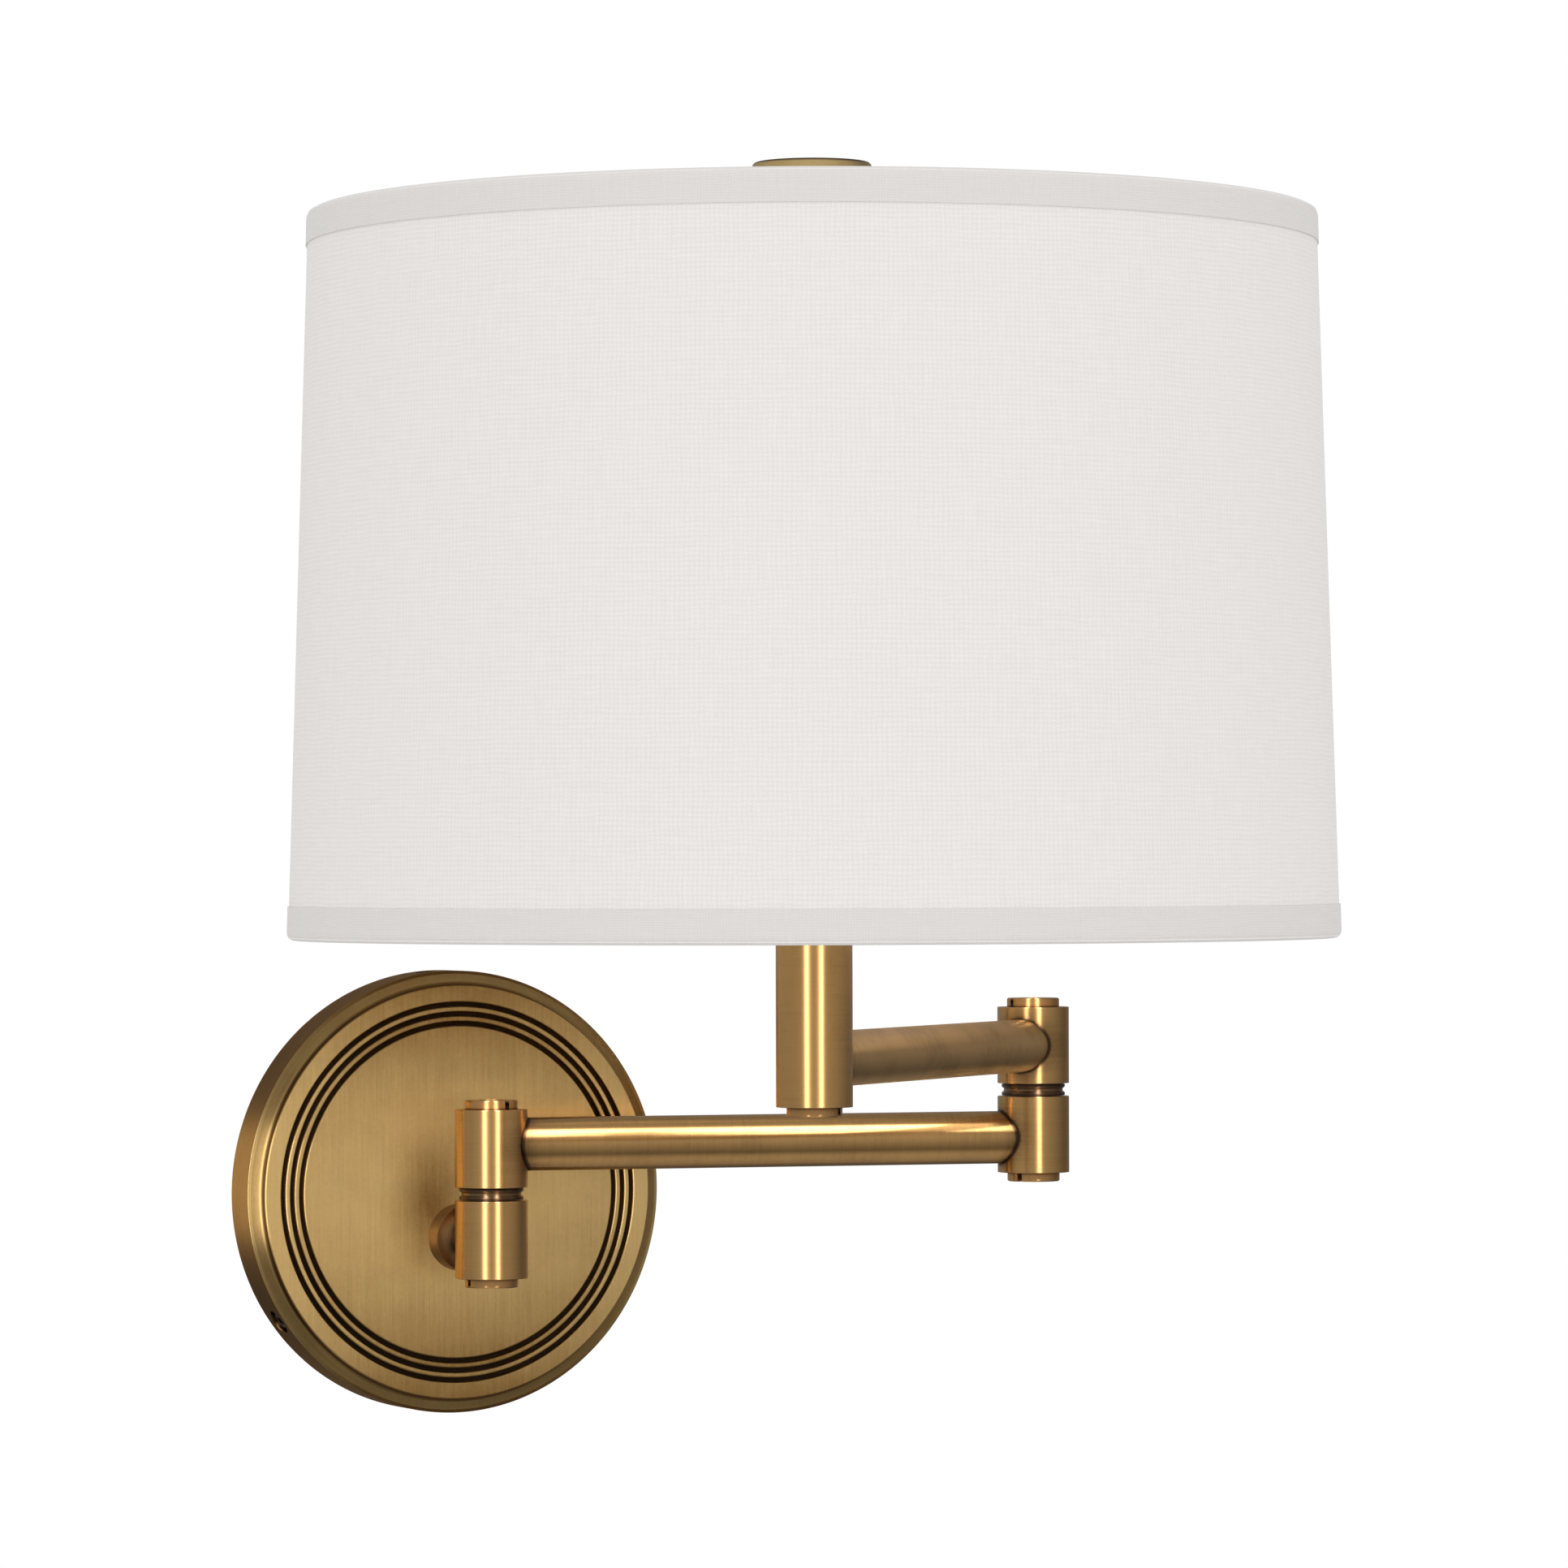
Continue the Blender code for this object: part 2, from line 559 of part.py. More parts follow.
# ---------------------------------------------------------------------------------------------
# Lamp head: column, saddle, harp, socket and bulb
# ---------------------------------------------------------------------------------------------
def build_column(looks, head):
    bore = CAP_RADIUS + GAP
    tube = sleeve("column", COLUMN_RADIUS, bore, COLUMN_BOTTOM, COLUMN_TOP)
    column = place("column", tube, looks["brass"], head)
    hole = disc("column_wire_hole", WIRE_HOLE_RADIUS, COLUMN_RADIUS * 0.5, COLUMN_RADIUS * 1.3, 12)
    towards_elbow = around(OUTER_ARM_ANGLE + 180, 1)
    combine(column, hole, location=(0, 0, OUTER_ARM_Z), rotation=aim(towards_elbow))
    build_cap(looks, "column_cap", COLUMN_BOTTOM, -1, head)

    flange = COLUMN_TOP + GAP
    nipple_hole = NIPPLE_RADIUS + GAP
    plug = [
        (COLUMN_RADIUS, flange + COLUMN_PLUG_FLANGE),
        (COLUMN_RADIUS, flange),
        (CAP_RADIUS, flange),
        (CAP_RADIUS, flange - COLUMN_PLUG_LENGTH),
        (nipple_hole, flange - COLUMN_PLUG_LENGTH),
        (nipple_hole, flange + COLUMN_PLUG_FLANGE),
    ]
    place("column_plug", turned("column_plug", plug), looks["brass"], head)
    nut_bottom = flange - COLUMN_PLUG_LENGTH - GAP - NUT_HEIGHT
    build_nut(looks, "socket_nut", nut_bottom, head)
    nipple_top = socket_foot() + 5.0 * MM
    nipple_bottom = nut_bottom - 1.5 * MM
    nipple = sleeve("socket_nipple", NIPPLE_RADIUS, NIPPLE_BORE, nipple_bottom, nipple_top, SMALL_SIDES)
    place("socket_nipple", nipple, looks["steel"], head)


def saddle_foot():
    return COLUMN_TOP + COLUMN_PLUG_FLANGE + GAP * 2


def socket_foot():
    return saddle_foot() + SADDLE_THICKNESS + GAP


def build_saddle(looks, head):
    """Strip under the socket with a narrow tab turned up at each end for the harp's ferrules."""
    foot = saddle_foot()
    reach = SADDLE_HALF_WIDTH + SADDLE_THICKNESS / 2
    strip = block(
        "harp_saddle", (-reach, -SADDLE_STRIP / 2, foot), (reach, SADDLE_STRIP / 2, foot + SADDLE_THICKNESS)
    )
    saddle = place("harp_saddle", strip, looks["brass"], head)
    for side in (-1, 1):
        edges = sorted((side * reach, side * (reach - SADDLE_THICKNESS)))
        tab = block(
            "saddle_tab",
            (edges[0], -SADDLE_TAB_WIDTH / 2, foot + SADDLE_THICKNESS / 2),
            (edges[1], SADDLE_TAB_WIDTH / 2, foot + SADDLE_TAB_HEIGHT),
        )
        combine(saddle, tab, "UNION")
    hole = disc("saddle_hole", NIPPLE_RADIUS + GAP, foot - GAP, foot + SADDLE_THICKNESS + GAP)
    combine(saddle, hole)


def harp_side():
    """Points up one side of the harp: a straight foot, then two Bezier sweeps to the narrow top."""
    foot = saddle_foot() + SADDLE_TAB_HEIGHT + GAP
    knots = [
        Vector((SADDLE_HALF_WIDTH, 0, foot)),
        Vector((SADDLE_HALF_WIDTH, 0, foot + 32 * MM)),
        Vector((HARP_HALF_WIDTH, 0, HARP_WIDEST_Z - 40 * MM)),
        Vector((HARP_HALF_WIDTH, 0, HARP_WIDEST_Z)),
        Vector((HARP_HALF_WIDTH, 0, HARP_WIDEST_Z + 58 * MM)),
        Vector((HARP_TOP_HALF + 26 * MM, 0, HARP_TOP_Z)),
        Vector((HARP_TOP_HALF, 0, HARP_TOP_Z)),
    ]
    lower = geometry.interpolate_bezier(*knots[0:4], 9)
    upper = geometry.interpolate_bezier(*knots[3:7], 10)
    return lower + upper[1:]


def build_harp(looks, head):
    right = harp_side()
    left = [Vector((-point.x, 0, point.z)) for point in right]
    path = right + left[::-1]
    curve = bpy.data.curves.new("harp", "CURVE")
    curve.dimensions = "3D"
    curve.bevel_depth = HARP_WIRE
    curve.bevel_resolution = 1
    curve.use_fill_caps = True
    spline = curve.splines.new("POLY")
    spline.points.add(len(path) - 1)
    for point, place_on_path in zip(spline.points, path):
        point.co = (*place_on_path, 1.0)
    place("harp", curve, looks["brass"], head)
    bottom = right[0].z - FERRULE_LENGTH / 2
    for side, name in ((-1, "harp_ferrule_left"), (1, "harp_ferrule_right")):
        tube = sleeve(name, FERRULE_RADIUS, FERRULE_BORE, bottom, bottom + FERRULE_LENGTH, 12)
        place(name, tube, looks["brass"], head, (side * SADDLE_HALF_WIDTH, 0, 0))


def build_socket(looks, head):
    foot = socket_foot()
    rim = foot + SOCKET_CAP_HEIGHT
    hole = NIPPLE_RADIUS + GAP
    cup = SOCKET_RADIUS - SOCKET_WALL
    cap = [
        (SOCKET_RADIUS, rim),
        (SOCKET_RADIUS, foot + 8.0 * MM),
        (11.5 * MM, foot + 2.5 * MM),
        (9.0 * MM, foot),
        (hole, foot),
        (hole, foot + 2.0 * MM),
        (10.0 * MM, foot + 3.5 * MM),
        (cup, foot + 9.0 * MM),
        (cup, rim),
    ]
    place("socket_cap", turned("socket_cap", cap), looks["brass"], head)

    shell_bottom = rim + GAP
    shell_top = shell_bottom + SOCKET_SHELL_HEIGHT
    shell_mesh = sleeve("socket_shell", SOCKET_RADIUS, cup, shell_bottom, shell_top)
    shell = place("socket_shell", shell_mesh, looks["brass"], head)
    sleeve_outer = cup - GAP
    sleeve_mesh = sleeve("socket_sleeve", sleeve_outer, sleeve_outer - SOCKET_WALL, shell_bottom, shell_top - MM)
    insulation = place("socket_sleeve", sleeve_mesh, looks["card"], head)
    for part, name in ((shell, "shell_switch_hole"), (insulation, "sleeve_switch_hole")):
        hole_mesh = disc(name, SWITCH_SHAFT_RADIUS + GAP, SOCKET_RADIUS * 0.7, SOCKET_RADIUS * 1.3, 12)
        combine(part, hole_mesh, location=(0, 0, SWITCH_Z), rotation=aim((0, -1, 0)))

    body_top = bulb_base_foot() - GAP
    body = disc("socket_body", cup - GAP * 3 - SOCKET_WALL, foot + 10.0 * MM, body_top, BARREL_SIDES)
    place("socket_body", body, looks["phenolic"], head)
    screw_bottom = body_top + GAP
    screw = sleeve("screw_shell", SCREW_SHELL_RADIUS, SCREW_SHELL_RADIUS - 0.5 * MM, screw_bottom, shell_top - MM)
    place("screw_shell", screw, looks["aluminium"], head)


def bulb_base_foot():
    return SWITCH_Z + 5.0 * MM


def build_bulb(looks, head):
    base_foot = bulb_base_foot()
    base_top = base_foot + BULB_BASE_HEIGHT
    base = [
        (0, base_top),
        (BULB_BASE_RADIUS, base_top),
        (BULB_BASE_RADIUS, base_foot + 5.0 * MM),
        (BULB_BASE_RADIUS - 6.0 * MM, base_foot),
        (0, base_foot),
    ]
    place("bulb_base", turned("bulb_base", base), looks["aluminium"], head)

    foot = base_top + GAP
    centre = foot + BULB_LENGTH - BULB_RADIUS
    shoulder = foot + 6.0 * MM

    def skin(inset):
        """Glass outline from the crown down to the open neck, inset from the outer surface."""
        crown = [math.pi / 2 * step / 5 for step in range(6)]
        points = [((BULB_RADIUS - inset) * math.sin(t), centre + (BULB_RADIUS - inset) * math.cos(t)) for t in crown]
        for step in range(1, 6):
            blend = 0.5 - 0.5 * math.cos(math.pi * step / 5)
            radius = BULB_RADIUS + (BULB_NECK_RADIUS - BULB_RADIUS) * blend - inset
            points.append((radius, centre + (shoulder - centre) * step / 5))
        return points + [(BULB_NECK_RADIUS - inset, foot)]

    outline = skin(0) + skin(BULB_WALL)[::-1]
    place("bulb_globe", turned("bulb_globe", outline, SMALL_SIDES), looks["glass"], head)


def build_switch(looks, axis):
    """Turn switch on the front of the socket: its shaft and its knob, along the axis's +Z."""
    knob_start = SWITCH_SHAFT_END - 6.0 * MM
    knob_end = knob_start + SWITCH_KNOB_LENGTH
    shaft = disc("switch_shaft", SWITCH_SHAFT_RADIUS, SCREW_SHELL_RADIUS + GAP, SWITCH_SHAFT_END, 12)
    place("switch_shaft", shaft, looks["brass"], axis)
    bore = SWITCH_SHAFT_RADIUS + GAP
    knob = [
        (0, knob_end),
        (SWITCH_KNOB_RADIUS - 1.0 * MM, knob_end),
        (SWITCH_KNOB_RADIUS, knob_end - 1.0 * MM),
        (SWITCH_KNOB_RADIUS, knob_start),
        (bore, knob_start),
        (bore, SWITCH_SHAFT_END + GAP),
        (0, SWITCH_SHAFT_END + GAP),
    ]
    place("switch_knob", turned("switch_knob", knob, 12), looks["phenolic"], axis)


# ---------------------------------------------------------------------------------------------
# Shade and finial
# ---------------------------------------------------------------------------------------------
def shade_radius(height):
    """Radius of the trim's outer face at a height."""
    share = (height - SHADE_BOTTOM) / SHADE_HEIGHT
    return SHADE_BOTTOM_RADIUS + (SHADE_TOP_RADIUS - SHADE_BOTTOM_RADIUS) * share


def shade_layer(name, depth, thickness, margin):
    """Tapered sleeve whose outer face lies depth inside the trim's, margin short of both rims."""
    low = SHADE_BOTTOM + margin
    high = SHADE_BOTTOM + SHADE_HEIGHT - margin
    outline = [
        (shade_radius(high) - depth, high),
        (shade_radius(low) - depth, low),
        (shade_radius(low) - depth - thickness, low),
        (shade_radius(high) - depth - thickness, high),
    ]
    return turned(name, outline, WIDE_SIDES)


def trim_band(name, rim, inward):
    """Band round a rim, folded over its edge to cover the wire ring; inward points into the shade."""
    fold = rim + inward * TRIM_THICKNESS
    hem = rim + inward * TRIM_HEIGHT
    outline = [
        (shade_radius(rim), rim),
        (shade_radius(hem), hem),
        (shade_radius(hem) - TRIM_THICKNESS, hem),
        (shade_radius(fold) - TRIM_THICKNESS, fold),
        (shade_radius(fold) - TRIM_FOLD_WIDTH, fold),
        (shade_radius(rim) - TRIM_FOLD_WIDTH, rim),
    ]
    return turned(name, outline, WIDE_SIDES)


def ring_radius(height):
    """Radius of a wire ring's centre line, just inside the liner."""
    layers = TRIM_THICKNESS + FABRIC_THICKNESS + LINER_THICKNESS + LAYER_GAP * 2
    return shade_radius(height) - layers - SHADE_WIRE_CLEARANCE - SHADE_WIRE


def wire_ring(name, height):
    centre = ring_radius(height)
    turns = [math.tau * step / 6 for step in range(6)]
    outline = [(centre + SHADE_WIRE * math.cos(t), height + SHADE_WIRE * math.sin(t)) for t in turns]
    return turned(name, outline, HIDDEN_RING_SIDES)


def build_shade(looks, head):
    fabric_depth = TRIM_THICKNESS + LAYER_GAP
    liner_depth = fabric_depth + FABRIC_THICKNESS + LAYER_GAP
    margin = TRIM_THICKNESS + LAYER_GAP * 2
    place("shade_fabric", shade_layer("shade_fabric", fabric_depth, FABRIC_THICKNESS, margin), looks["fabric"], head)
    place("shade_liner", shade_layer("shade_liner", liner_depth, LINER_THICKNESS, margin), looks["liner"], head)
    top = SHADE_BOTTOM + SHADE_HEIGHT
    place("top_trim", trim_band("top_trim", top, -1), looks["trim"], head)
    place("bottom_trim", trim_band("bottom_trim", SHADE_BOTTOM, 1), looks["trim"], head)
    inset = margin + GAP + SHADE_WIRE
    place("top_ring", wire_ring("top_ring", top - inset), looks["wire"], head)
    place("bottom_ring", wire_ring("bottom_ring", SHADE_BOTTOM + inset), looks["wire"], head)

    hub_bottom = SPIDER_Z - SPIDER_HUB_THICKNESS / 2
    hub_top = SPIDER_Z + SPIDER_HUB_THICKNESS / 2
    hub = sleeve("spider_hub", SPIDER_HUB_RADIUS, STUD_RADIUS + GAP, hub_bottom, hub_top, SMALL_SIDES)
    place("spider_hub", hub, looks["wire"], head)
    start = SPIDER_HUB_RADIUS + GAP
    end = ring_radius(top - inset) - SHADE_WIRE - GAP
    for number, angle in enumerate(SPIDER_ARM_ANGLES, 1):
        name = f"spider_arm_{number}"
        arm = disc(name, SPIDER_ARM_RADIUS, start, end, 8)
        place(name, arm, looks["wire"], head, (0, 0, SPIDER_Z), aim(around(angle, 1)))
    build_finial(looks, head, hub_bottom, hub_top)


def build_finial(looks, head, hub_bottom, hub_top):
    """Threaded stud on the harp's top, and the finial that clamps the spider's hub on it."""
    seat = HARP_TOP_Z + HARP_WIRE + GAP
    foot = hub_top + GAP
    stud_top = foot + 9.0 * MM
    stud = [
        (0, stud_top),
        (STUD_RADIUS, stud_top),
        (STUD_RADIUS, hub_bottom - GAP),
        (STUD_FLANGE_RADIUS, hub_bottom - GAP),
        (STUD_FLANGE_RADIUS, seat),
        (0, seat),
    ]
    place("harp_stud", turned("harp_stud", stud, SMALL_SIDES), looks["brass"], head)
    under_disc = FINIAL_TOP - FINIAL_DISC_THICKNESS
    bore = STUD_RADIUS + GAP
    finial = [
        (0, FINIAL_TOP),
        (FINIAL_DISC_RADIUS - 0.6 * MM, FINIAL_TOP),
        (FINIAL_DISC_RADIUS, FINIAL_TOP - 0.6 * MM),
        (FINIAL_DISC_RADIUS, under_disc + 0.4 * MM),
        (FINIAL_DISC_RADIUS - 0.4 * MM, under_disc),
        (FINIAL_NECK_RADIUS, under_disc),
        (FINIAL_NECK_RADIUS, foot + 3.0 * MM),
        (FINIAL_FOOT_RADIUS, foot + 2.0 * MM),
        (FINIAL_FOOT_RADIUS, foot),
        (bore, foot),
        (bore, stud_top + GAP),
        (0, stud_top + GAP),
    ]
    place("finial", turned("finial", finial, BARREL_SIDES), looks["brass"], head)


# ---------------------------------------------------------------------------------------------
# Assembly
# ---------------------------------------------------------------------------------------------
def clear_scene():
    for item in list(bpy.data.objects):
        bpy.data.objects.remove(item)


def build_sconce():
    looks = make_materials()
    wall_axis = place("wall_swivel", None, None, None, (0, -KNUCKLE_OUT, 0), (0, 0, INNER_ARM_ANGLE))
    fold = OUTER_ARM_ANGLE - INNER_ARM_ANGLE
    elbow_axis = place("elbow_swivel", None, None, wall_axis, (ARM_LENGTH, 0, 0), (0, 0, fold))
    head = place("lamp_head", None, None, elbow_axis, (ARM_LENGTH, 0, 0), (0, 0, -OUTER_ARM_ANGLE))
    switch_axis = place("switch_turn", None, None, head, (0, 0, SWITCH_Z), aim((0, -1, 0)))

    build_backplate(looks)
    build_mounting_ring(looks)
    build_rim_screws(looks)
    build_ground_screw(looks)
    build_post(looks)

    centred = (0, 0, 0)
    wall_lower = ("wall_lower_barrel", None, (0, -KNUCKLE_OUT, 0), (POST_Z, 90, NIPPLE_RADIUS + GAP))
    wall_upper = ("wall_upper_barrel", wall_axis, centred, (INNER_ARM_Z, 0, WIRE_HOLE_RADIUS))
    build_knuckle(looks, "wall", wall_lower, wall_upper, WALL_KNUCKLE_Z)
    build_arm(looks, "inner_arm", INNER_ARM_Z, wall_axis)

    elbow_lower = ("elbow_lower_barrel", wall_axis, (ARM_LENGTH, 0, 0), (INNER_ARM_Z, 180, WIRE_HOLE_RADIUS))
    elbow_upper = ("elbow_upper_barrel", elbow_axis, centred, (OUTER_ARM_Z, 0, WIRE_HOLE_RADIUS))
    build_knuckle(looks, "elbow", elbow_lower, elbow_upper, ELBOW_KNUCKLE_Z)
    build_arm(looks, "outer_arm", OUTER_ARM_Z, elbow_axis)

    build_column(looks, head)
    build_saddle(looks, head)
    build_harp(looks, head)
    build_socket(looks, head)
    build_bulb(looks, head)
    build_switch(looks, switch_axis)
    build_shade(looks, head)


clear_scene()
build_sconce()
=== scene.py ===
# %% [markdown]
# # A swing arm wall sconce in aged brass
#
# The lamp is a round backplate, two folding arms on turned knuckles, a short column and a
# drum shade of white linen. Its mechanical model is already made, and every size and place
# here is taken from it. This lesson gives each piece its true surface and its finish: smooth
# turned metal with eased edges, fine brush marks, brown in the corners, and a woven shade.
#
# The first cell opens the model. Nothing in it is moved. Round pieces there have few sides,
# so the pieces that show are worked out again below as fine surfaces in the same places.

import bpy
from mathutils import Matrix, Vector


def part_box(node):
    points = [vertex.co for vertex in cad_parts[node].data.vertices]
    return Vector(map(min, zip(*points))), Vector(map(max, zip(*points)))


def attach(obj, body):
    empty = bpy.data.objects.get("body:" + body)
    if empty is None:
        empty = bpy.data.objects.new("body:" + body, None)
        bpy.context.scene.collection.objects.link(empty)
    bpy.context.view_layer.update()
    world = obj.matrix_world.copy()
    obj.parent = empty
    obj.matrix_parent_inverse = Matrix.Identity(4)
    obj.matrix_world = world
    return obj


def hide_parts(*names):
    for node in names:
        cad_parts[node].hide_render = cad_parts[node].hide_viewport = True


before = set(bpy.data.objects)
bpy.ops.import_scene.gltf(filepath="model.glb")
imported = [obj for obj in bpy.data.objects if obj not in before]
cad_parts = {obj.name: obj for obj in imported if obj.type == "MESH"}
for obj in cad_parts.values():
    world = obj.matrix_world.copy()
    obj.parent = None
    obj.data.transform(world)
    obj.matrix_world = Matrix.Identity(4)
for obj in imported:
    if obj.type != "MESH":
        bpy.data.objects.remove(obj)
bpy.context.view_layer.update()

import math

import bmesh
import bpy
import numpy as np
from mathutils import Matrix, Vector

MM = 0.001

# %% [markdown]
# ## Where the axes are
#
# The lamp turns about three upright axes: the knuckle at the wall, the elbow, and the column
# that carries the shade. A cap sits in the end of each barrel, so the middle of a cap's box
# is a point of its axis. The post stands straight out of the plate, below the middle.

# %% Axes and directions
X, Y, Z = np.eye(3)
UPRIGHT = np.array([X, Y, Z])  # a turned piece that stands: its axis is +Z
OUTWARD = np.array([X, Z, -Y])  # a turned piece that lies on the wall's normal, away from it


def ends(node):
    """The lowest and the highest corner of a piece of the model, as arrays."""
    low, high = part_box(node)
    return np.array(low), np.array(high)


def middle(node):
    """The middle of a piece's box."""
    low, high = ends(node)
    return (low + high) / 2


def plan(node):
    """The middle of a piece seen from above, at height zero."""
    return middle(node) * (1, 1, 0)


def half_across(node):
    """Half the size of a piece from left to right."""
    low, high = ends(node)
    return (high[0] - low[0]) / 2


WALL_AXIS, ELBOW_AXIS, COLUMN_AXIS = map(plan, ("wall_bottom_cap", "elbow_bottom_cap", "column_cap"))
POST_CENTRE = middle("wall_post") * (1, 0, 1)
for name, axis in (("wall", WALL_AXIS), ("elbow", ELBOW_AXIS), ("column", COLUMN_AXIS)):
    print(f"{name} axis at x {axis[0] / MM:.1f}, y {axis[1] / MM:.1f} mm")

# %% [markdown]
# ## The skin of a piece
#
# Every new piece here is a grid of points, so many rows of so many points, and its skin joins
# neighbours into four-sided faces. Making this once keeps each piece below down to its own
# formula. Two things are checked for every piece: an end row that is really one point becomes
# a fan of triangles, and the sign of the volume tells whether the faces look outwards.

# %% A grid of points becomes a mesh
SHARP_EDGE = math.radians(38)


def grid_faces(rows, columns, ring):
    """Corner numbers of each face, (i, j), (i, j+1), (i+1, j+1), (i+1, j), with j going round."""
    i, j = np.meshgrid(np.arange(rows if ring else rows - 1), np.arange(columns), indexing="ij")
    here, below, beside = i * columns, (i + 1) % rows * columns, (j + 1) % columns
    return np.stack([here + j, here + beside, below + beside, below + j], -1).reshape(-1, 4)


def join_poles(grid, quads, ring):
    """Takes the faces of a pole row, whose points are all one, out of the quads as triangles."""
    rows, columns = grid.shape[:2]
    if ring:
        return quads, np.zeros((0, 3), int)
    triangles = []
    spread = np.ptp(grid, axis=1).max(1)
    if spread[0] < 1e-9:
        fan, quads = quads[:columns], quads[columns:]
        triangles.append(np.stack([np.zeros(columns, int), fan[:, 2], fan[:, 3]], -1))
    if spread[-1] < 1e-9:
        fan, quads = quads[-columns:], quads[:-columns]
        triangles.append(np.stack([fan[:, 0], fan[:, 1], np.full(columns, (rows - 1) * columns)], -1))
    return quads, np.concatenate(triangles) if triangles else np.zeros((0, 3), int)


def volume_of(points, faces):
    """One sixth of the sum of a·(b×c) over the fan of triangles of each face."""
    total = 0.0
    for k in range(1, faces.shape[1] - 1):
        a, b, c = points[faces[:, 0]], points[faces[:, k]], points[faces[:, k + 1]]
        total += np.einsum("ij,ij->", a, np.cross(b, c)) / 6
    return total


def skin(name, grid, unwrap=None, patina_and_shade=None, ring=False):
    """A closed mesh object over grid, rows by columns by three, with each face looking outwards.

    unwrap turns the corners of faces into (u, v) in metres; the patina value of each point holds patina, and
    in a few places painted shade.
    """
    points = grid.reshape(-1, 3)
    quads, triangles = join_poles(grid, grid_faces(*grid.shape[:2], ring), ring)
    centred = points - points.mean(0)
    if volume_of(centred, quads) + volume_of(centred, triangles) < 0:
        quads, triangles = quads[:, ::-1], triangles[:, ::-1]
    used = np.unique(np.concatenate([quads.ravel(), triangles.ravel()]))
    new_number = np.zeros(len(points), int)
    new_number[used] = np.arange(len(used))
    mesh = bpy.data.meshes.new(name)
    numbered = new_number[quads].tolist() + new_number[triangles].tolist()
    mesh.from_pydata(points[used].tolist(), [], numbered)
    if unwrap:
        corners = [unwrap(points[faces]).reshape(-1, 2) for faces in (quads, triangles) if len(faces)]
        mesh.uv_layers.new(name="brushing").data.foreach_set("uv", np.concatenate(corners).ravel())
    if patina_and_shade is not None:
        values = np.broadcast_to(patina_and_shade, grid.shape[:2]).reshape(-1)[used]
        attribute = mesh.attributes.new("patina_and_shade", "FLOAT", "POINT")
        attribute.data.foreach_set("value", values.astype(np.float32))
    mesh.shade_smooth()
    mesh.set_sharp_from_angle(angle=SHARP_EDGE)
    piece = bpy.data.objects.new(name, mesh)
    bpy.context.scene.collection.objects.link(piece)
    return piece


def fit(piece, look, slot, body, *nodes, boxes=True):
    """Gives a piece its finish, lets it ride on its body, and hides the model's coarse piece.

    Every metal piece can shade the two soft boxes; boxes says whether they light it as well.
    """
    piece.data.materials.append(look)
    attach(piece, body)
    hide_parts(*nodes)
    if look.node_tree.nodes["Principled BSDF"].inputs["Metallic"].default_value > 0:
        SHADING.objects.link(piece)
        if boxes:
            BOXES_LIGHT.objects.link(piece)
    else:
        FILL_LIGHTS.objects.link(piece)
    print(f"{piece.name}: {len(piece.data.polygons)} faces for {', '.join(nodes)}")
    return piece


# %% [markdown]
# ## Turned pieces
#
# Nearly every piece of this lamp comes off a lathe, so the next helpers do what a lathe does:
# an outline of radius and height is carried round an axis. Real turned brass has no knife
# edges. A small curve at each corner catches a thin line of light, and two more points beside
# it keep the flats next to it flat in the shading.

# %% Outlines
EASE = 0.22 * MM


def eased(outline, radius=EASE, steps=4, closed=True):
    """Rounds each corner C with (1-t)²·A + 2t(1-t)·C + t²·B, A and B being radius away from C.

    A and B come no further than 40% of their side. One more point lies just beyond each.
    """
    corner = np.asarray(outline, float)
    back, ahead = np.roll(corner, 1, 0) - corner, np.roll(corner, -1, 0) - corner
    back_length = np.maximum(np.linalg.norm(back, axis=1, keepdims=True), 1e-9)
    ahead_length = np.maximum(np.linalg.norm(ahead, axis=1, keepdims=True), 1e-9)
    start = corner + back / back_length * np.minimum(radius, 0.4 * back_length)
    end = corner + ahead / ahead_length * np.minimum(radius, 0.4 * ahead_length)
    t = np.linspace(0, 1, steps + 1)[None, :, None]
    curve = (1 - t) ** 2 * start[:, None] + 2 * t * (1 - t) * corner[:, None] + t**2 * end[:, None]
    before = start + (start - corner) * 0.2
    after = end + (end - corner) * 0.2
    points = np.concatenate([before[:, None], curve, after[:, None]], 1)
    if closed:
        return points.reshape(-1, 2)
    return np.concatenate([corner[:1], points[1:-1].reshape(-1, 2), corner[-1:]])


def filled(outline, longest, closed=True):
    """Adds points on the long sides of an outline, so that none is longer than longest."""
    following = np.roll(outline, -1, 0) if closed else outline[1:]
    starts = outline if closed else outline[:-1]
    count = np.maximum(1, np.ceil(np.linalg.norm(following - starts, axis=1) / longest)).astype(int)
    side = np.repeat(np.arange(len(starts)), count)
    share = (np.arange(count.sum()) - np.repeat(np.cumsum(count) - count, count)) / count[side]
    points = starts[side] + (following - starts)[side] * share[:, None]
    return points if closed else np.concatenate([points, outline[-1:]])


# %% The lathe
def round_unwrap(centre, basis, radius):
    """u is the angle round the axis times radius, v the height less the distance from the axis.

    A face that spans the cut at half a turn is put back together; a corner on the axis takes
    the mean angle of its face.
    """

    def unwrap(corners):
        local = (corners - centre) @ basis.T
        reach = np.hypot(local[..., 0], local[..., 1])
        angle = np.arctan2(local[..., 1], local[..., 0])
        on_axis = reach < 1e-8
        widest = np.where(on_axis, -9, angle).max(1, keepdims=True)
        angle = np.where(angle < widest - math.pi, angle + math.tau, angle)
        off = ~on_axis
        mean = (angle * off).sum(1, keepdims=True) / np.maximum(off.sum(1, keepdims=True), 1)
        angle = np.where(on_axis, mean, angle)
        return np.stack([angle * radius, local[..., 2] - reach], -1)

    return unwrap


def angles_round(sides):
    """Equal steps once round."""
    return np.arange(sides) * math.tau / sides


def spokes(angles):
    """A level unit vector, cos a·X + sin a·Y, for each angle a."""
    return np.cos(angles)[:, None] * X + np.sin(angles)[:, None] * Y


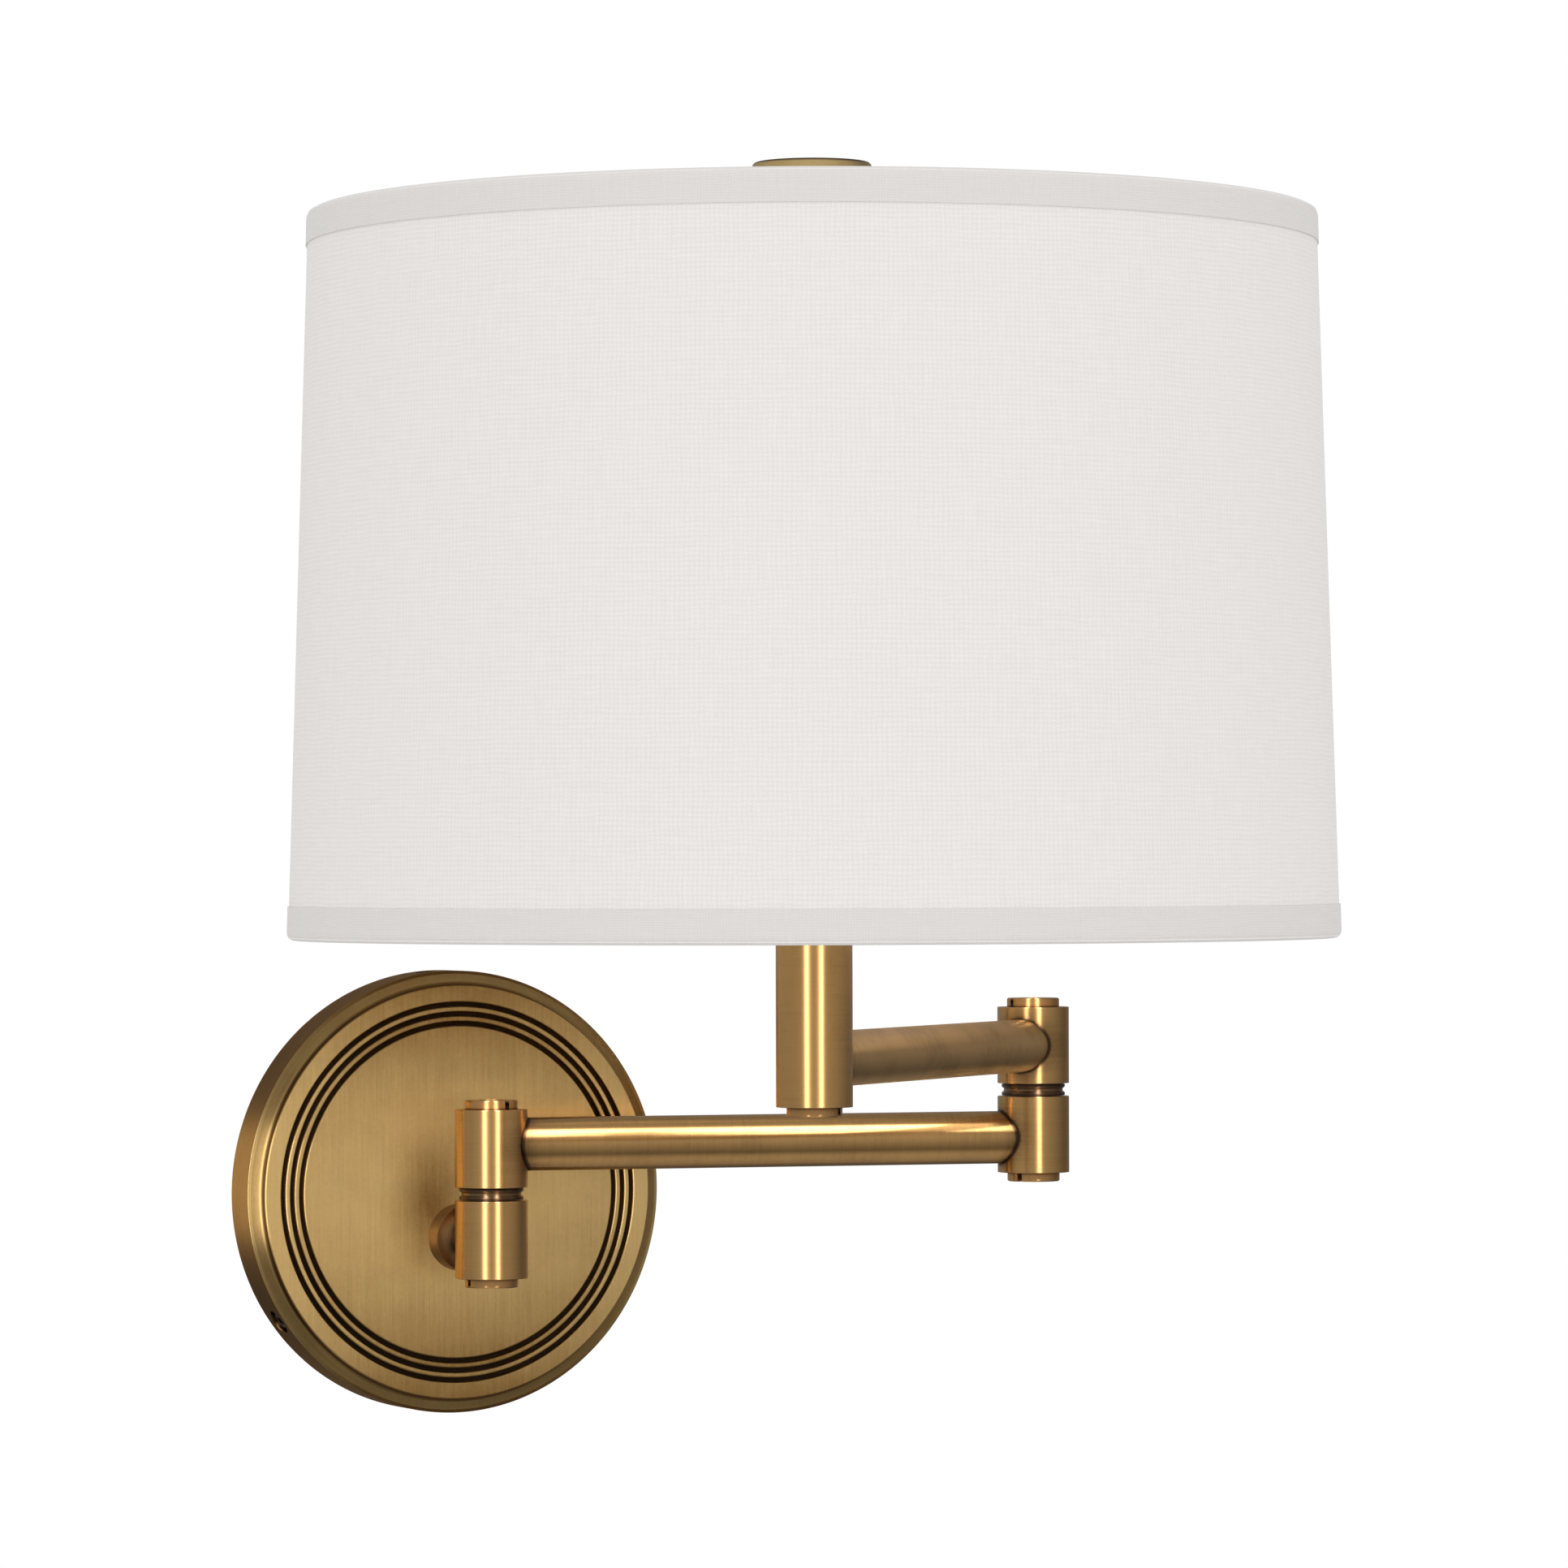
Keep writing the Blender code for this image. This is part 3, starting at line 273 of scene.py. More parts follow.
def turned_grid(outline, centre, basis, angles):
    """Each (radius, height) goes to centre + radius·(cos a·first + sin a·second) + height·axis."""
    radius, height = outline[:, 0, None, None], outline[:, 1, None, None]
    spoke = np.cos(angles)[None, :, None] * basis[0] + np.sin(angles)[None, :, None] * basis[1]
    return centre + radius * spoke + height * basis[2]


def turned(name, outline, centre, basis=UPRIGHT, sides=160, patina_and_shade=None, closed=True, wear=0.0):
    """A turned piece, closed by joining the outline's ends or by its two ends on the axis."""
    angles = angles_round(sides)
    grid = turned_grid(np.asarray(outline, float), np.asarray(centre, float), basis, angles)
    radius = float(np.max(np.asarray(outline)[:, 0]))
    values = wear if patina_and_shade is None else np.clip(patina_and_shade(grid) + wear, 0, 1)
    unwrap = round_unwrap(np.asarray(centre, float), basis, radius)
    return skin(name, grid, unwrap, values, ring=closed)


# %% [markdown]
# ## Brush marks
#
# The brass was finished with an abrasive cloth while it turned, so each surface is covered by
# very fine lines that run round it. They do two things. Light is spread across them, which
# makes a highlight long and narrow, and the shader's anisotropy does that. And some lines are
# deep enough to see. The group below draws those: noise that is stretched more than a
# hundred times along the brushing. It reads the unwrapped place in metres, u along the lines.

# %% Node helpers
def new_group(name, inputs, outputs):
    """An empty node group with named sockets: inputs as (name, kind, value), outputs as (name, kind)."""
    tree = bpy.data.node_groups.new(name, "ShaderNodeTree")
    for label, kind, value in inputs:
        socket = tree.interface.new_socket(name=label, in_out="INPUT", socket_type="NodeSocket" + kind)
        if value is not None:
            socket.default_value = value
    for label, kind in outputs:
        tree.interface.new_socket(name=label, in_out="OUTPUT", socket_type="NodeSocket" + kind)
    return tree, tree.nodes.new("NodeGroupInput").outputs, tree.nodes.new("NodeGroupOutput").inputs


def join(tree, value, socket):
    """Links a socket, or sets a plain value."""
    if isinstance(value, bpy.types.NodeSocket):
        tree.links.new(value, socket)
    else:
        socket.default_value = value


def arithmetic(tree, operation, *values):
    """One step of arithmetic on sockets or plain values."""
    node = tree.nodes.new("ShaderNodeMath")
    node.operation = operation
    for socket, value in zip(node.inputs, values):
        join(tree, value, socket)
    return node.outputs[0]


def total(tree, first, second):
    return arithmetic(tree, "ADD", first, second)


def difference(tree, first, second):
    return arithmetic(tree, "SUBTRACT", first, second)


def product(tree, first, second):
    return arithmetic(tree, "MULTIPLY", first, second)


def noise(tree, vector, scale, detail=2.0, roughness=0.5):
    node = tree.nodes.new("ShaderNodeTexNoise")
    node.inputs["Scale"].default_value = scale
    node.inputs["Detail"].default_value = detail
    node.inputs["Roughness"].default_value = roughness
    join(tree, vector, node.inputs["Vector"])
    return node.outputs["Fac"]


def stretched(tree, vector, along, across):
    """A vector whose u is counted in lengths of along, and v in lengths of across."""
    node = tree.nodes.new("ShaderNodeVectorMath")
    node.operation = "MULTIPLY"
    join(tree, vector, node.inputs[0])
    node.inputs[1].default_value = (1 / along, 1 / across, 1 / across)
    return node.outputs[0]


def between(tree, value, low, high, new_low=0.0, new_high=1.0):
    """Carries low..high over to new_low..new_high, clamped."""
    node = tree.nodes.new("ShaderNodeMapRange")
    for socket, number in zip(list(node.inputs)[1:5], (low, high, new_low, new_high)):
        join(tree, number, socket)
    join(tree, value, node.inputs[0])
    return node.outputs[0]


def mixed(tree, share, first, second):
    node = tree.nodes.new("ShaderNodeMix")
    node.data_type = "RGBA"
    join(tree, share, node.inputs[0])
    join(tree, first, node.inputs[6])
    join(tree, second, node.inputs[7])
    return node.outputs[2]


# %% The brush mark group
def brush_marks():
    """Height and tone of brushing: fine noise 0.16 mm wide, and bands a few millimetres wide."""
    tree, given, out = new_group(
        "brush_marks",
        [("Place", "Vector", None), ("Depth", "Float", 1.0)],
        [("Height", "Float"), ("Tone", "Float")],
    )
    fine = noise(tree, stretched(tree, given["Place"], 22 * MM, 0.16 * MM), 1.0, 3.0, 0.65)
    broad = noise(tree, stretched(tree, given["Place"], 60 * MM, 1.6 * MM), 1.0, 2.0, 0.5)
    join(tree, product(tree, fine, given["Depth"]), out["Height"])
    both = total(tree, product(tree, fine, 0.75), product(tree, broad, 0.25))
    join(tree, between(tree, both, 0.32, 0.68), out["Tone"])
    return tree


BRUSH_MARKS = brush_marks()

# %% [markdown]
# ## Aged brass
#
# The finish is brass darkened with an acid wash and rubbed back: golden where the cloth
# reached, brown on flanks, and almost black in grooves and where an arm meets its barrel. The
# group takes the patina value of a point, breaks its edge up with noise so that it never ends
# in a clean line, and puts out a colour and a roughness. In a few places that value also holds
# painted shade: behind the wall knuckle, in the post's dish, at the spacers' ends and along the
# finial's top edge.

# %% The patina group
def aged_metal():
    """Colour from clean through brown to black as patina goes 0, 0.5, 1, with cloudy variation."""
    tree, given, out = new_group(
        "aged_metal",
        [
            ("Place", "Vector", None),
            ("Patina", "Float", 0.0),
            ("Tone", "Float", 0.5),
            ("Clean", "Color", (0.8, 0.5, 0.2, 1)),
            ("Brown", "Color", (0.3, 0.15, 0.06, 1)),
            ("Black", "Color", (0.02, 0.01, 0.005, 1)),
            ("Cloud", "Float", 0.25),
            ("Smooth", "Float", 0.2),
            ("Rough", "Float", 0.4),
        ],
        [("Color", "Color"), ("Roughness", "Float")],
    )
    cloud = noise(tree, given["Place"], 55.0, 4.0, 0.6)
    speck = noise(tree, given["Place"], 900.0, 2.0, 0.5)
    drift = product(tree, difference(tree, cloud, 0.5), given["Cloud"])
    grain = product(tree, difference(tree, speck, 0.5), 0.08)
    tone = product(tree, difference(tree, 0.5, given["Tone"]), 0.16)
    # The patina input also carries painted shade in a few places on the plate, post, spacers and finial.
    age = total(tree, given["Patina"], total(tree, drift, total(tree, grain, tone)))
    half = mixed(tree, between(tree, age, 0.0, 0.5), given["Clean"], given["Brown"])
    join(tree, mixed(tree, between(tree, age, 0.5, 1.0), half, given["Black"]), out["Color"])
    join(tree, between(tree, age, 0.0, 0.9, given["Smooth"], given["Rough"]), out["Roughness"])
    return tree


AGED_METAL = aged_metal()


# %% Brass recipes
def new_material(name):
    """A material with its node tree, its Principled shader and nothing else."""
    material = bpy.data.materials.new(name)
    material.use_nodes = True
    tree = material.node_tree
    return material, tree, tree.nodes["Principled BSDF"]


def place_group(tree, group, **values):
    node = tree.nodes.new("ShaderNodeGroup")
    node.node_tree = group
    for label, value in values.items():
        join(tree, value, node.inputs[label])
    return node.outputs


def object_place(tree):
    return tree.nodes.new("ShaderNodeTexCoord").outputs["Object"]


def read_value(tree, name):
    node = tree.nodes.new("ShaderNodeAttribute")
    node.attribute_name = name
    return node.outputs["Fac"]


def raise_normal(tree, height, shader, strength, distance):
    bump = tree.nodes.new("ShaderNodeBump")
    bump.inputs["Strength"].default_value = strength
    bump.inputs["Distance"].default_value = distance
    join(tree, height, bump.inputs["Height"])
    join(tree, bump.outputs["Normal"], shader.inputs["Normal"])


FINE_RELIEF = 0.05 * MM


def brass(name, clean, brown, black, smooth, rough, cloud=0.25, stretch=1.0, coat=0.0):
    """Brushed, aged brass. The unwrapped u runs along the brush lines, and light spreads across."""
    material, tree, shader = new_material(name)
    unwrapped = tree.nodes.new("ShaderNodeUVMap")
    unwrapped.uv_map = "brushing"
    marks = place_group(tree, BRUSH_MARKS, Place=unwrapped.outputs["UV"])
    metal = place_group(
        tree, AGED_METAL, Place=object_place(tree), Patina=read_value(tree, "patina_and_shade"), Tone=marks["Tone"],
        Clean=(*clean, 1), Brown=(*brown, 1), Black=(*black, 1), Cloud=cloud, Smooth=smooth, Rough=rough,
    )
    join(tree, metal["Color"], shader.inputs["Base Color"])
    join(tree, metal["Roughness"], shader.inputs["Roughness"])
    shader.inputs["Metallic"].default_value = 1.0
    shader.inputs["Anisotropic"].default_value = stretch
    shader.inputs["Anisotropic Rotation"].default_value = 0.25
    shader.inputs["Coat Weight"].default_value = coat
    shader.inputs["Coat Roughness"].default_value = 0.12
    tangent = tree.nodes.new("ShaderNodeTangent")
    tangent.direction_type, tangent.uv_map = "UV_MAP", "brushing"
    join(tree, tangent.outputs[0], shader.inputs["Tangent"])
    raise_normal(tree, marks["Height"], shader, 0.06, FINE_RELIEF)
    return material


BROWN, BLACK = (0.16, 0.085, 0.038), (0.012, 0.006, 0.003)
TURNED_BRASS = brass("turned_brass", (0.79, 0.46, 0.17), BROWN, BLACK, 0.31, 0.46, cloud=0.3, coat=0.15)
ARM_BRASS = brass(
    "arm_brass", (0.78, 0.48, 0.205), (0.17, 0.09, 0.045), BLACK, 0.33, 0.5, cloud=0.75, coat=0.2
)
PLATE_BRASS = brass(
    "plate_brass", (0.72, 0.49, 0.195), (0.24, 0.125, 0.035), (0.03, 0.014, 0.006), 0.40, 0.55,
    cloud=0.2, coat=0.1,
)
CAP_BRASS = brass(
    "cap_brass", (0.80, 0.45, 0.17), (0.3, 0.13, 0.045), BLACK, 0.32, 0.45, cloud=0.3, coat=0.2
)
DARK_BRASS = brass("dark_brass", (0.30, 0.19, 0.10), (0.07, 0.04, 0.022), BLACK, 0.34, 0.5, coat=0.2)
BRIGHT_BRASS = brass("bright_brass", (0.86, 0.62, 0.27), BROWN, BLACK, 0.26, 0.4, stretch=0.8, coat=0.3)
for look in (TURNED_BRASS, ARM_BRASS, PLATE_BRASS, CAP_BRASS, DARK_BRASS, BRIGHT_BRASS):
    print(look.name, "has", len(look.node_tree.nodes), "nodes")

# %% [markdown]
# ## Camera, lights and floor
#
# The lamp hangs in a plain white studio. Two tall soft boxes stand in front of it, above, a
# little apart: on every upright barrel they leave two bright stripes with a dark gap between
# them. They light most of the turned pieces and nothing else, and only metal shades them, so
# the white shade is neither burnt out by them nor in their way. A small panel lights the
# backplate alone, and a weak light from the front fills the cloth and the glass. Each light
# has a collection of the pieces that it lights, which the pieces join as they are fitted.
# The room is a soft grey to anything shiny and white to the eye. The floor is pale and well
# below, and shows in no reflection.

# %% Camera
YAW, PITCH, ROLL = math.radians(24.957), math.radians(0.54), math.radians(-0.159)
CAMERA_PLACE, FOCAL_LENGTH, SENSOR = (-0.882289, -2.162285, 0.108872), 165.54, 36
forward = Vector((math.sin(YAW) * math.cos(PITCH), math.cos(YAW) * math.cos(PITCH), math.sin(PITCH)))
level = Vector((math.cos(YAW), -math.sin(YAW), 0))
upward = level.cross(forward)
right = level * math.cos(ROLL) + upward * math.sin(ROLL)
top = upward * math.cos(ROLL) - level * math.sin(ROLL)
camera_data = bpy.data.cameras.new("camera")
camera_data.lens, camera_data.sensor_width = FOCAL_LENGTH, SENSOR
camera_data.clip_start, camera_data.clip_end = 0.05, 50
camera = bpy.data.objects.new("camera", camera_data)
turn = Matrix((right, top, -forward)).transposed().to_4x4()
camera.matrix_world = Matrix.Translation(CAMERA_PLACE) @ turn
bpy.context.scene.collection.objects.link(camera)
bpy.context.scene.camera = camera
bpy.context.scene.view_settings.view_transform = "Standard"
print("camera", round(camera.location.length, 3), "m from the middle of the wall plate")

# %% Lights
STUDIO_CENTRE = Vector((0.05, -0.15, 0.08))


def soft_box(name, plan_angle, elevation, distance, width, height, power, target=STUDIO_CENTRE):
    """A soft box seen from its target at a plan angle, turned to face it."""
    light = bpy.data.lights.new(name, "AREA")
    light.shape, light.size, light.size_y, light.energy = "RECTANGLE", width, height, power
    box = bpy.data.objects.new(name, light)
    around, up = math.radians(plan_angle), math.radians(elevation)
    away = Vector((math.cos(around) * math.cos(up), math.sin(around) * math.cos(up), math.sin(up)))
    box.location = target + away * distance
    box.visible_camera = False
    box.rotation_euler = away.to_track_quat("Z", "Y").to_euler()
    bpy.context.scene.collection.objects.link(box)
    return box


BOXES_LIGHT, SHADING, SIDE_LIGHTS, FILL_LIGHTS = (
    bpy.data.collections.new(name) for name in ("boxes_light", "shading", "side_lights", "fill_lights")
)
for name, plan_angle, power in (("soft_box_left", -141, 60), ("soft_box_right", -90, 58)):
    box = soft_box(name, plan_angle, elevation=46, distance=2.4, width=0.30, height=1.4, power=power)
    box.light_linking.receiver_collection = BOXES_LIGHT
    box.light_linking.blocker_collection = SHADING
side = soft_box(
    "side_panel", -155, elevation=2, distance=0.62, width=0.35, height=0.42, power=3.0,
    target=Vector((0, 0, 0)),
)
side.light_linking.receiver_collection = SIDE_LIGHTS
side.light_linking.blocker_collection = SIDE_LIGHTS
fill = soft_box("front_fill", -112, elevation=12, distance=3.2, width=2.4, height=2.0, power=14)
fill.light_linking.receiver_collection = FILL_LIGHTS


# %% World
def studio_world():
    """White to the camera, light grey to cloth, and a darker grey to polished metal.

    Metal sees a grey that grows to the left and the front. It is times a share that falls from
    the top to just below level, and rises again underneath.
    """
    world = bpy.data.worlds.new("studio")
    bpy.context.scene.world = world
    world.use_nodes = True
    tree = world.node_tree
    ray = tree.nodes.new("ShaderNodeLightPath")
    place = tree.nodes.new("ShaderNodeTexCoord").outputs["Generated"]
    split = tree.nodes.new("ShaderNodeSeparateXYZ")
    join(tree, place, split.inputs[0])
    left = product(tree, split.outputs["X"], -0.124)
    front = product(tree, arithmetic(tree, "MINIMUM", split.outputs["Y"], 0.0), -0.22)
    round_about = total(tree, 0.27, total(tree, left, front))
    above = between(tree, split.outputs["Z"], -0.65, 0.15, 0.42, 1.05)
    below = between(tree, split.outputs["Z"], -1.0, -0.72, 1.9, 0.42)
    glossy = product(tree, round_about, arithmetic(tree, "MAXIMUM", above, below))
    cloth = between(tree, split.outputs["Z"], -1.0, 1.0, 0.78, 0.92)
    to_metal = product(tree, ray.outputs["Is Glossy Ray"], difference(tree, glossy, cloth))
    white = arithmetic(tree, "MAXIMUM", total(tree, cloth, to_metal), ray.outputs["Is Camera Ray"])
    background = tree.nodes["Background"]
    join(tree, white, background.inputs["Strength"])
    background.inputs["Color"].default_value = (1, 1, 1, 1)


studio_world()


# %% Floor
def plain_material(name, colour, roughness):
    """One colour with a faint cloud in it, for the floor."""
    material, tree, shader = new_material(name)
    cloud = noise(tree, object_place(tree), 3.0)
    light = tuple(min(1.0, c * 1.02) for c in colour)
    join(tree, mixed(tree, cloud, (*colour, 1), (*light, 1)), shader.inputs["Base Color"])
    shader.inputs["Roughness"].default_value = roughness
    return material


def studio_floor(height, radius):
    """A disc: rings of growing radius at one height, thickened downwards into a closed slab."""
    outline = np.array([(0, 0), (radius, 0), (radius, -0.02), (0, -0.02)])
    floor = turned("floor", outline, (0.05, -0.2, height), sides=96, closed=False)
    floor.data.materials.append(plain_material("pale_floor", (0.86, 0.86, 0.86), 0.7))
    floor.visible_glossy = False


studio_floor(height=-0.42, radius=1.3)

# %% [markdown]
# ## The backplate
#
# A pan of spun brass: a flat middle brushed up and down, three turned grooves, a small step,
# and a hollow curve down to a plain rim. Three holes in the rim take the screws that hold it
# on its bracket. The outline goes from the middle of the face out over the rim and back along
# the inside. For a hole the grid itself is bent: squares of grid lines round the hole become
# circles, and the inner circles are pushed into the metal.

# %% Outline of the backplate
PLATE_LOW, PLATE_HIGH = ends("backplate")
PLATE_RADIUS = float(PLATE_HIGH[0])
PLATE_DEPTH = float(-PLATE_LOW[1])
RIM_DEPTH = 15.0 * MM
STEP = np.array([66.4, 17.2]) * MM
GROOVES = np.array([60.3, 57.2, 54.1]) * MM
GROOVE_WIDTH, GROOVE_DEPTH = 1.6 * MM, 1.3 * MM
PLATE_WALL, FACE_WALL = 2.5 * MM, 3.0 * MM


def plate_outline():
    """Corners from the middle of the face, over grooves, step, cove and rim, to the inside."""
    half = GROOVE_WIDTH / 2
    face, floor = PLATE_DEPTH, PLATE_DEPTH - GROOVE_DEPTH
    groove = np.array([[-half, face], [-half, floor], [half, floor], [half, face]])
    grooves = (groove[None] + np.stack([GROOVES[::-1], np.zeros(3)], -1)[:, None]).reshape(-1, 2)
    turn = np.linspace(0, math.pi / 2, 9)[1:-1]
    width, drop = PLATE_RADIUS - STEP[0], STEP[1] - RIM_DEPTH
    cove = np.stack([STEP[0] + width * (1 - np.cos(turn)), STEP[1] - drop * np.sin(turn)], -1)
    inner = PLATE_RADIUS - PLATE_WALL
    inside = face - FACE_WALL
    return grooves, (STEP[0], face), STEP, cove, inner, inside


GROOVE_CORNERS, STEP_TOP, STEP_FOOT, COVE, INNER_RADIUS, INSIDE = plate_outline()
front = np.concatenate([[(0, PLATE_DEPTH)], GROOVE_CORNERS, [STEP_TOP, STEP_FOOT, COVE[0]]])
front = filled(eased(front, 0.38 * MM, closed=False), 6 * MM, closed=False)
shoulder = np.array([COVE[-2], COVE[-1], (PLATE_RADIUS, RIM_DEPTH), (PLATE_RADIUS, 14.75 * MM)])
shoulder = eased(shoulder, 0.3 * MM, closed=False)

# %% Rim, holes and inside
HOLE_OUT, HOLE_PATCH, HOLE_CELLS = 8.2 * MM, 6.5 * MM, 12
HOLE_ANGLES = np.radians([95.0, 215.0, 335.0])
rim_steps = HOLE_OUT + np.linspace(1, -1, 2 * HOLE_CELLS + 1) * HOLE_PATCH
rim = np.stack([np.full_like(rim_steps, PLATE_RADIUS), rim_steps], -1)
back = eased(
    np.array([
        (PLATE_RADIUS, 1.5 * MM), (PLATE_RADIUS, 0), (INNER_RADIUS, 0),
        (INNER_RADIUS, RIM_DEPTH - PLATE_WALL), (STEP[0] - PLATE_WALL, INSIDE), (0, INSIDE),
    ]), 0.5 * MM, closed=False,
)
back = filled(back, 8 * MM, closed=False)
plate_profile = np.concatenate([front, COVE[1:-2], shoulder, rim, back])


def rim_angles(cells=96):
    """Angles round the plate: even between the holes, and finer over the patch of each hole."""
    reach = HOLE_PATCH / PLATE_RADIUS
    fine = np.linspace(-reach, reach, 2 * HOLE_CELLS + 1)[:-1]
    coarse = np.linspace(reach, math.tau / 3 - reach, cells + 1)[:-1]
    return (HOLE_ANGLES[:, None] + np.concatenate([fine, coarse])[None]).ravel()


def bend_to_holes(radius, angle, out):
    """Bends square rings of the grid to circles round each hole, and sinks the inner ones.

    Ring number k of a point is 12 times the larger of its distances along and across the
    patch. From k = 12 to 8 the square blends into a circle; 7 is the eased edge, 6 to 4 the
    wall of the hole, and below that its floor.
    """
    rings = [0, 3, 4, 5, 6, 7, 8, 12]
    circle = np.array([0, 2.6, 4.14, 4.2, 4.2, 4.42, 4.75, 6.5]) * MM
    sunk = np.array([2.2, 2.2, 2.2, 1.1, 0.28, 0.0, 0.0, 0.0]) * MM
    depth = np.zeros_like(radius)
    for middle_angle in HOLE_ANGLES:
        along = (np.mod(angle - middle_angle + math.pi, math.tau) - math.pi) * PLATE_RADIUS / HOLE_PATCH
        across = (out - HOLE_OUT) / HOLE_PATCH
        ring = np.maximum(np.abs(along), np.abs(across)) * HOLE_CELLS
        inside = (ring < HOLE_CELLS - 0.01) & (np.abs(radius - PLATE_RADIUS) < 1e-6)
        length = np.maximum(np.hypot(along, across), 1e-9)
        reach = np.interp(ring, rings, circle)
        share = np.clip((HOLE_CELLS - ring) / (HOLE_CELLS - 8), 0, 1)
        new_along = along * HOLE_PATCH * (1 - share) + along / length * reach * share
        new_across = across * HOLE_PATCH * (1 - share) + across / length * reach * share
        new_depth = np.interp(ring, rings, sunk)
        angle = np.where(inside, middle_angle + new_along / PLATE_RADIUS, angle)
        out = np.where(inside, HOLE_OUT + new_across, out)
        depth = np.where(inside, new_depth, depth)
    return radius - depth, angle, out, depth


# %% The backplate itself
def plate_patina_and_shade(radius, angle, out, depth):
    """Black in the grooves and holes, brown on the rim and at the foot of the step.

    The face darkens with the square of its height above or below the middle. Behind the
    knuckle a brown bell-shaped cloud is painted shade, standing for the knuckle's dark reflection.
    """
    near_groove = np.abs(radius[..., None] - GROOVES).min(-1) < GROOVE_WIDTH / 2 + 0.02 * MM
    sunk = np.clip((PLATE_DEPTH - 0.15 * MM - out) / (0.5 * MM), 0, 1)
    height = np.abs(radius * np.sin(angle)) / STEP[0]
    inner_face = 0.07 + 0.06 * np.clip(radius / GROOVES[2], 0, 1) ** 2.5
    face = np.where(radius < GROOVES[1], inner_face, 0.02) + 0.45 * height**2
    value = np.where(near_groove, np.maximum(0.9 * sunk, 0.1), face)
    value = np.where((radius > PLATE_RADIUS - 0.5 * MM) & (out < RIM_DEPTH - 0.2 * MM), 0.56, value)
    at_foot = (out < STEP[1] + 1 * MM) * (out > STEP[1] - 1 * MM)
    value = np.maximum(value, 0.85 * (np.exp(-(((radius - STEP[0]) / (0.6 * MM)) ** 2)) * at_foot))
    # Painted shade: a brown cloud behind the wall knuckle, in place of its dark reflection.
    across, up = radius * np.cos(angle) + 9 * MM, radius * np.sin(angle) + 3 * MM
    value = np.maximum(value, 0.5 * np.exp(-((across / (13 * MM)) ** 2) - (up / (22 * MM)) ** 2))
    value = np.where((radius < PLATE_RADIUS - 1 * MM) & (out < INSIDE + 0.1 * MM), 0.25, value)
    return np.maximum(value, np.clip(depth / (0.5 * MM), 0, 1))


def plate_unwrap(corners):
    """The flat face is brushed up and down: u is the height. Elsewhere the lines run round."""
    out = -corners[..., 1].mean(1)
    reach = np.hypot(corners[..., 0], corners[..., 2]).mean(1)
    flat = (out > PLATE_DEPTH - 0.05 * MM) & (reach < STEP[0])
    turned_uv = round_unwrap(np.zeros(3), OUTWARD, PLATE_RADIUS)(corners)
    flat_uv = np.stack([corners[..., 2], -corners[..., 0]], -1)
    return np.where(flat[:, None, None], flat_uv, turned_uv)


def build_backplate():
    """Radius and height from the profile, angle from the columns, then the holes are bent in."""
    angles = rim_angles()
    radius = np.repeat(plate_profile[:, :1], len(angles), 1)
    out = np.repeat(plate_profile[:, 1:], len(angles), 1)
    angle = np.repeat(angles[None], len(plate_profile), 0)
    radius, angle, out, depth = bend_to_holes(radius, angle, out)
    grid = np.stack([radius * np.cos(angle), -out, radius * np.sin(angle)], -1)
    return skin("spun_backplate", grid, plate_unwrap, plate_patina_and_shade(radius, angle, out, depth))


backplate = fit(build_backplate(), PLATE_BRASS, "brass", "wall_mount", "backplate", boxes=False)
SIDE_LIGHTS.objects.link(backplate)

# %% [markdown]
# ## Screws, nuts and washers
#
# The rim screws are short grub screws of blackened steel with a hexagonal socket. A hexagon
# is a circle whose radius changes with the angle: the flat of a hexagon at angle a is
# cos(30°) / cos(a - 30°) of its corner's radius, with a taken within each sixth of a turn.

# %% Steel finishes
def steel(name, clean, stained, smooth, rough, metallic=1.0):
    """Plated or blackened steel: two close colours in clouds, and fine grain in its roughness."""
    material, tree, shader = new_material(name)
    place = object_place(tree)
    cloud = between(tree, noise(tree, place, 160.0, 4.0, 0.6), 0.35, 0.65)
    grain = noise(tree, place, 2600.0, 2.0)
    join(tree, mixed(tree, cloud, (*clean, 1), (*stained, 1)), shader.inputs["Base Color"])
    join(tree, between(tree, grain, 0.3, 0.7, smooth, rough), shader.inputs["Roughness"])
    shader.inputs["Metallic"].default_value = metallic
    raise_normal(tree, grain, shader, 0.08, FINE_RELIEF)
    return material


ZINC_STEEL = steel("zinc_steel", (0.62, 0.62, 0.60), (0.50, 0.50, 0.47), 0.28, 0.42)
BLACK_STEEL = steel("black_steel", (0.10, 0.095, 0.09), (0.05, 0.045, 0.04), 0.28, 0.45)
GREEN_SCREW = steel("green_screw", (0.03, 0.26, 0.09), (0.02, 0.20, 0.06), 0.35, 0.5, metallic=0.4)


# %% Hexagons
def hexagonal(angles):
    """Share of the corner radius at each angle of a hexagon."""
    within = np.mod(angles, math.pi / 3)
    return math.cos(math.pi / 6) / np.cos(within - math.pi / 6)


def squeezed(grid, basis, share, centre):
    """Each point's distance from the axis times share, then all of it moved to the centre."""
    along = grid @ basis[2]
    spoke = grid - along[..., None] * basis[2]
    return centre + spoke * share[..., None] + along[..., None] * basis[2]


def screw_or_nut(name, outline, hexed, centre, basis, sides=96):
    """A turned piece of which some outline points, those marked in hexed, follow a hexagon."""
    angles = angles_round(sides)
    outline = np.asarray(outline, float)
    share = np.where(np.asarray(hexed, bool)[:, None], hexagonal(angles)[None], 1.0)
    return skin(name, squeezed(turned_grid(outline, np.zeros(3), basis, angles), basis, share, centre))


